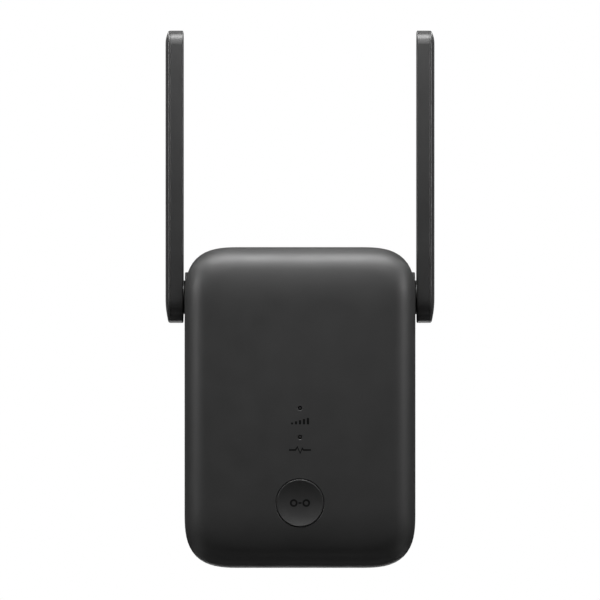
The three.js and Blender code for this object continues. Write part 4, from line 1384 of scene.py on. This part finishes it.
def power_parts():
    y0 = POWER_F - GAP
    # transformer: bobbin with its flanges, a wound and taped coil, and the core round it
    core = prism("core", "y", round_rect(8.5, 7.0, 0.35, 3, 4.5, -5.0), y0 - 8.2, y0 - 3.2)
    cut(core, prism("window", "y", round_rect(6.1, 4.4, 0.2, 3, 4.5, -5.0), y0 - 9, y0 - 2))
    cut(core, *[prism("split", "y", [(a, -5.1), (a + 2.6, -5.1), (a + 2.6, -4.9), (a, -4.9)], y0 - 9, y0 - 8.0) for a in (-4.1, 10.5)])
    clean(core)
    place(core, "ferrite_core", "housing", M["ferrite"], "transformer_core", 30)
    rings = []
    for i in range(41):
        f = i / 40
        y = y0 - 11.0 + 9.0 * f
        g = 0.16 + 0.07 * math.cos(i * PI * 0.5) + 0.5 * max(0.0, abs(f - 0.5) * 2 - 0.9) * 4
        rings.append([along("y", u, v, y) for u, v in round_rect(5.8 - g, 4.1 - g, 0.9, 5, 4.5, -5.0)])
    place(loft("coil", rings), "transformer_coil", "housing", M["tape"], "transformer_winding", 45)
    flange = prism("flange", "y", round_rect(5.8, 4.1, 0.5, 4, 4.5, -5.0), y0 - 11.6, y0 - 11.02)
    foot = prism("foot", "y", round_rect(8.1, 6.4, 0.6, 4, 4.5, -5.0), y0 - 1.6, y0)
    cut(foot, *[prism("nick", "y", round_rect(0.5, 0.5, 0.2, 2, -3 + 3 * i + 1.5, z), y0 - 3, y0 + 1) for i in range(5) for z in (-11.4, 1.4)])
    place(joined("bobbin", [flange, foot]), "transformer_bobbin", "housing", M["moulded"], (), 30)

    def radial(name, x, z, r, h, node):
        """Electrolytic capacitor: aluminium can with a scored top, in a shrunk sleeve."""
        top = y0 - h
        can_ = [(0, top + 0.12), (r * 0.78, top + 0.12), (r * 0.9, top + 0.2), (r - 0.2, top + 0.55), (r - 0.2, y0 - 2.4)]
        can_ += [(r - 0.75, y0 - 1.95), (r - 0.2, y0 - 1.5), (r - 0.2, y0 - 0.3), (r - 0.6, y0 - 0.1), (0, y0 - 0.1)]
        core_ = lathe("can", "y", can_, 40, x, z)
        k = r * 0.62
        cross = [(k, 0.1), (0.1, 0.1), (0.1, k), (-0.1, k), (-0.1, 0.1), (-k, 0.1), (-k, -0.1), (-0.1, -0.1), (-0.1, -k), (0.1, -k), (0.1, -0.1), (k, -0.1)]
        cut(core_, prism("score", "y", [(x + u, z + v) for u, v in cross], top - 1, top + 0.24))
        clean(core_)
        place(core_, name + "_can", "housing", M["alu"], (), 35)
        wrap = [(r * 0.72, top + 0.1), (r * 0.72, top), (r * 0.88, top + 0.02), (r - 0.08, top + 0.3), (r, top + 0.6), (r, y0 - 2.5)]
        wrap += [(r - 0.4, y0 - 2.1), (r - 0.4, y0 - 1.85), (r, y0 - 1.45), (r, y0 - 0.35), (r - 0.15, y0 - 0.05), (r - 0.7, y0 - 0.02), (r - 0.7, y0 - 0.08)]
        wrap += [(r - 0.18, y0 - 0.28), (r - 0.18, y0 - 1.5), (r - 0.6, y0 - 1.85), (r - 0.6, y0 - 2.1), (r - 0.18, y0 - 2.4), (r - 0.18, top + 0.6), (r * 0.9, top + 0.16)]
        place(lathe("wrap", "y", wrap, 40, x, z), name + "_sleeve", "housing", M["can_sleeve"], node, 35)

    radial("bulk_capacitor", -19.5, 9, 5.0, 12.0, "bulk_capacitor")
    radial("output_capacitor", 8, -18, 3.15, 11.0, "output_capacitor")

    # fuse: ceramic tube with plated caps
    yc = y0 - 2.1
    place(
        lathe("fuse", "x", [(0, -11.6)] + [(1.5, -11.6), (1.6, -10.4), (1.72, -10.2), (1.72, -4.4), (1.6, -4.2), (1.5, -3.0), (0, -3.0)], 32, yc, 20.5),
        "fuse_tube", "housing", M["fuse"], "mains_fuse", 35,
    )
    ends = []
    for a, b in ((-12.0, -9.7), (-2.6, -4.9)):
        s = 1 if b > a else -1
        ends.append(lathe("cap", "x", [(0, a), (1.6, a), (1.9, a + s * 0.3), (1.9, b - s * 0.2), (1.85, b), (1.76, b), (1.76, a + s * 0.5), (0, a + s * 0.38)], 32, yc, 20.5))
    place(joined("caps", ends), "fuse_caps", "housing", M["nickel"], (), 35)

    place(package(-9.6, 13.3, 2.4, 3.3, 2.6, y0, -1), "rectifier", "housing", M["moulded"], "bridge_rectifier", 30)
    xcap = box("xcap", 1.5, 13, y0 - 9.5, y0 - 0.02, 16, 21.2, 0.5, 3)
    cut(xcap, prism("top", "y", round_rect(5.0, 1.9, 0.5, 3, 7.25, 18.6), y0 - 10, y0 - 9.3))
    place(xcap, "film_capacitor", "housing", M["xcap"], "x_capacitor", 30)
    prof = [(0, y0 - 9.2), (3.5, y0 - 9.2), (3.85, y0 - 8.95), (3.9, y0 - 8.6), (3.9, y0 - 7.8), (3.65, y0 - 7.4)]
    prof += [(3.55 + 0.1 * (i % 2), y0 - 7.1 + i * 0.29) for i in range(21)]
    prof += [(3.65, y0 - 1.1), (3.9, y0 - 0.8), (3.9, y0 - 0.2), (3.7, y0), (0, y0)]
    place(lathe("choke", "y", prof, 40, 21.5, 14), "choke", "housing", M["moulded"], "line_choke", 35)


power_parts()


def hinge_parts():
    """Inside each hinge and antenna, for the right side; the left is its mirror."""
    got = []
    hy, hz = HINGE_Y, HINGE_Z
    shaft = [(1.5, 40.3), (5.2, 40.3), (5.2, 39.8), (3.7, 39.8), (3.7, 32.5), (3.6, 32.4), (2.9, 32.4), (2.9, 31.4), (3.6, 31.4), (3.7, 31.3), (3.7, 30.75), (3.4, 30.4), (1.75, 30.4), (1.5, 30.6)]
    got.append((lathe("pivot", "x", shaft, 48, hy, hz), "pivot_shaft", "antenna", "pivot", "_antenna_pivot", "pivot_nylon"))
    bush = [(3.8, 37.55), (3.95, 37.7), (4.7, 37.7), (4.85, 37.55), (4.85, 34.1), (6.1, 34.1), (6.2, 34.0), (6.2, 33.4), (6.1, 33.3), (3.95, 33.3), (3.8, 33.45)]
    got.append((lathe("bush", "x", bush, 48, hy, hz), "bush", "housing", "acetal", "_hinge_bush", "bush_acetal"))
    # wave washer: three gentle waves
    rings = []
    n = 60
    for r, up in ((3.95, 0.11), (6.0, 0.11), (6.0, -0.11), (3.95, -0.11)):
        rings.append([(32.9 + up + 0.17 * math.cos(3 * 2 * PI * i / n), hy + r * math.cos(2 * PI * i / n), hz + r * math.sin(2 * PI * i / n)) for i in range(n)])
    washer = loft("washer", rings + [rings[0]], False)
    bm = bmesh.new()
    bm.from_mesh(washer.data)
    bmesh.ops.remove_doubles(bm, verts=bm.verts, dist=1e-5)
    bmesh.ops.recalc_face_normals(bm, faces=bm.faces)
    bm.to_mesh(washer.data)
    bm.free()
    got.append((washer, "wave_washer", "housing", "steel", "_friction_washer", "spring_steel"))
    # open ring with three prongs that grip the groove
    a0, a1 = math.radians(-90 + 28), math.radians(270 - 28)
    n = 60
    outer = [(hy + 5.2 * math.cos(a0 + (a1 - a0) * i / n), hz + 5.2 * math.sin(a0 + (a1 - a0) * i / n)) for i in range(n + 1)]
    inner = []
    for i in range(n, -1, -1):
        a = a0 + (a1 - a0) * i / n
        f = i / n
        prong = any(lo <= f <= hi for lo, hi in ((0, 0.1), (0.42, 0.58), (0.9, 1.0)))
        r = 3.05 if prong else 3.75
        inner.append((hy + r * math.cos(a), hz + r * math.sin(a)))
    got.append((prism("ring", "x", outer + inner, 31.6, 32.25), "clip_ring", "antenna", "steel", "_retaining_ring", "spring_steel"))
    # radiator: a printed dipole on its board
    board = prism("radiator", "x", round_rect(4.5, 35.0, 0.6, 4, hy, 71.0), 40.9, 41.66)
    cut(board, *[lathe("hole", "x", [(0, 40), (0.8, 40), (0.8, 43), (0, 43)], 20, hy, z) for z in (39.0, 103.2)])
    got.append((board, "radiator_board", "antenna", "board", "_antenna_radiator", "board_laminate"))
    t = 0.03
    tracks = []
    for pts, w in (
        ([(hy, 36.6 + 4.6), (hy, 68.0), (hy - 2.9, 68.0), (hy - 2.9, 50.0)], 1.3),
        ([(hy + 2.9, 50.0), (hy + 2.9, 66.0)], 1.3),
        ([(hy, 71.0), (hy, 75.0), (hy + 2.6, 75.0), (hy + 2.6, 79.0), (hy - 2.6, 79.0), (hy - 2.6, 83.0), (hy + 2.6, 83.0), (hy + 2.6, 87.0), (hy, 87.0), (hy, 100.5)], 1.5),
    ):
        tracks.append(prism("track", "x", stroke(pts, w), 41.66, 41.66 + t))
    got.append((joined("tracks", tracks), "radiator_tracks", "antenna", "gold", "", ""))
    feed = tube("feed", [(37.2, hy, hz), (39.9, hy, hz), (41.1, hy, hz + 1.0), (41.3, hy, hz + 3), (41.3, hy, 35.8)], 0.5, 14)
    got.append((feed, "feed_cable", "antenna", "cable", "_antenna_feed", "coax_grey"))
    coax = tube(
        "coax",
        [(36.8, hy, hz), (30.5, hy, hz), (28.6, hy - 0.6, hz - 0.6), (27.4, hy - 3.6, hz - 3), (26.0, MAIN_R + 0.85, hz - 7), (22.0, MAIN_R + 0.85, hz - 9)],
        0.57,
        16,
    )
    got.append((coax, "coax_cable", "housing", "cable", "_coax_lead", "coax_grey"))
    y0 = MAIN_R + GAP
    plug_ = lathe("plug", "y", [(0, y0), (1.1, y0), (1.1, y0 + 0.3), (1.25, y0 + 0.4), (1.25, y0 + 1.35), (1.1, y0 + 1.5), (0, y0 + 1.5)], 24, 21.1, 14.9)
    got.append((plug_, "coax_plug", "housing", "gold", "", ""))
    for ob, name, body, look, node, slot in got:
        for side in ("left", "right"):
            one = mirrored(ob) if side == "left" else shifted(ob)
            place(
                one,
                side + "_" + name,
                body if body == "housing" else side + "_antenna",
                M[look],
                side + node if node else (),
                35,
            )
        bpy.data.objects.remove(ob)


hinge_parts()


# ------------------------------------------------------- camera, floor, light
cam = bpy.data.cameras.new("camera")
cam.lens, cam.sensor_width = 400.0, 36.0
cam.clip_start, cam.clip_end = 0.01, 100.0
eye = bpy.data.objects.new("camera", cam)
eye.location = (0.0, -2.2365, 0.0234)
eye.rotation_euler = (PI / 2, 0, 0)
COLL.objects.link(eye)
SCENE.camera = eye


# name, x, y, z, width, height, watts, and whether it has a twin on the other side
LIGHTS = (
    ("above", 0, -0.13, 0.55, 0.66, 0.16, 4.26, False),
    ("above_mid", 0, -0.20, 0.40, 0.50, 0.10, 1.89, False),
    ("above_near", 0, -0.30, 0.28, 0.40, 0.08, 0.31, False),
    ("brow", 0, -0.53, 0.30, 0.36, 0.09, 0.58, False),
    ("shoulder", 0.50, -0.20, 0.14, 0.16, 0.16, 0.91, True),
    ("corner_high", 0.42, -0.08, 0.42, 0.16, 0.16, 0.53, True),
    ("corner_low", 0.45, -0.12, -0.35, 0.16, 0.16, 0.10, True),
    ("side", 0.60, -0.05, 0.0, 0.14, 0.60, 0.05, True),
    ("rim", 0.27, 0.80, 0.06, 0.14, 0.50, 0.04, True),
    ("under_front", 0, -0.30, -0.60, 0.60, 0.14, 0.149, False),
    ("under", 0, 0.10, -0.60, 0.60, 0.14, 0.13, False),
    ("corner_back", 0.42, 0.30, 0.42, 0.16, 0.16, 0.85, True),
    ("corner_under", 0.42, 0.25, -0.42, 0.16, 0.16, 0.10, True),
    ("back", 0.60, 0.90, 0.50, 0.30, 0.30, 2.0, True),
    ("back_high", 0, 0.50, 0.80, 0.60, 0.30, 0.7, False),
    ("back_low", 0, 0.80, -0.45, 0.60, 0.30, 1.0, False),
)
AIM = Vector((0.0, -0.045, 0.0))


def area(name, at, size, watts):
    light = bpy.data.lights.new(name, "AREA")
    light.shape = "RECTANGLE"
    light.size, light.size_y = size
    light.energy = watts
    ob = bpy.data.objects.new(name, light)
    ob.location = at
    ob.rotation_euler = (AIM - Vector(at)).to_track_quat("-Z", "Y").to_euler()
    ob.visible_camera = False
    COLL.objects.link(ob)
    return ob


for name, x, y, z, w, h, watts, twin in LIGHTS:
    for s in (-1, 1) if twin else (1,):
        area(name + ("_left" if twin and s < 0 else ""), (s * x, y, z), (w, h), watts)

floor_me = bpy.data.meshes.new("floor")
floor_me.from_pydata([(-9, -9, -3.0), (9, -9, -3.0), (9, 9, -3.0), (-9, 9, -3.0)], [], [(0, 1, 2, 3)])
floor = bpy.data.objects.new("floor", floor_me)
COLL.objects.link(floor)
pale = Nodes("pale_floor")
tone = pale.ramp(pale.noise(900, 2.0), [(0.3, grey(0.90)), (0.7, grey(0.93))])
pale.link(tone, pale.p.inputs["Emission Color"])
pale.put("Emission Strength", 1.0)
pale.put("Base Color", (0.0, 0.0, 0.0, 1.0))
pale.put("Roughness", 1.0)
pale.put("Specular IOR Level", 0.0)
floor_me.materials.append(pale.m)
# it is only seen: the lamps are all that lights the object
floor.visible_diffuse = floor.visible_glossy = floor.visible_shadow = False

world = bpy.data.worlds.new("studio")
SCENE.world = world
world.use_nodes = True
wt = world.node_tree
bg = wt.nodes["Background"]
bg.inputs["Color"].default_value = (1, 1, 1, 1)
bg.inputs["Strength"].default_value = 0.02
seen = wt.nodes.new("ShaderNodeBackground")
seen.inputs["Color"].default_value = (1, 1, 1, 1)
seen.inputs["Strength"].default_value = 1.0
mix = wt.nodes.new("ShaderNodeMixShader")
path = wt.nodes.new("ShaderNodeLightPath")
wt.links.new(path.outputs["Is Camera Ray"], mix.inputs["Fac"])
wt.links.new(bg.outputs["Background"], mix.inputs[1])
wt.links.new(seen.outputs["Background"], mix.inputs[2])
wt.links.new(mix.outputs["Shader"], wt.nodes["World Output"].inputs["Surface"])

SCENE.view_settings.view_transform = "Standard"
SCENE.view_settings.look = "None"
SCENE.view_settings.exposure = 0.0
SCENE.view_settings.gamma = 1.0
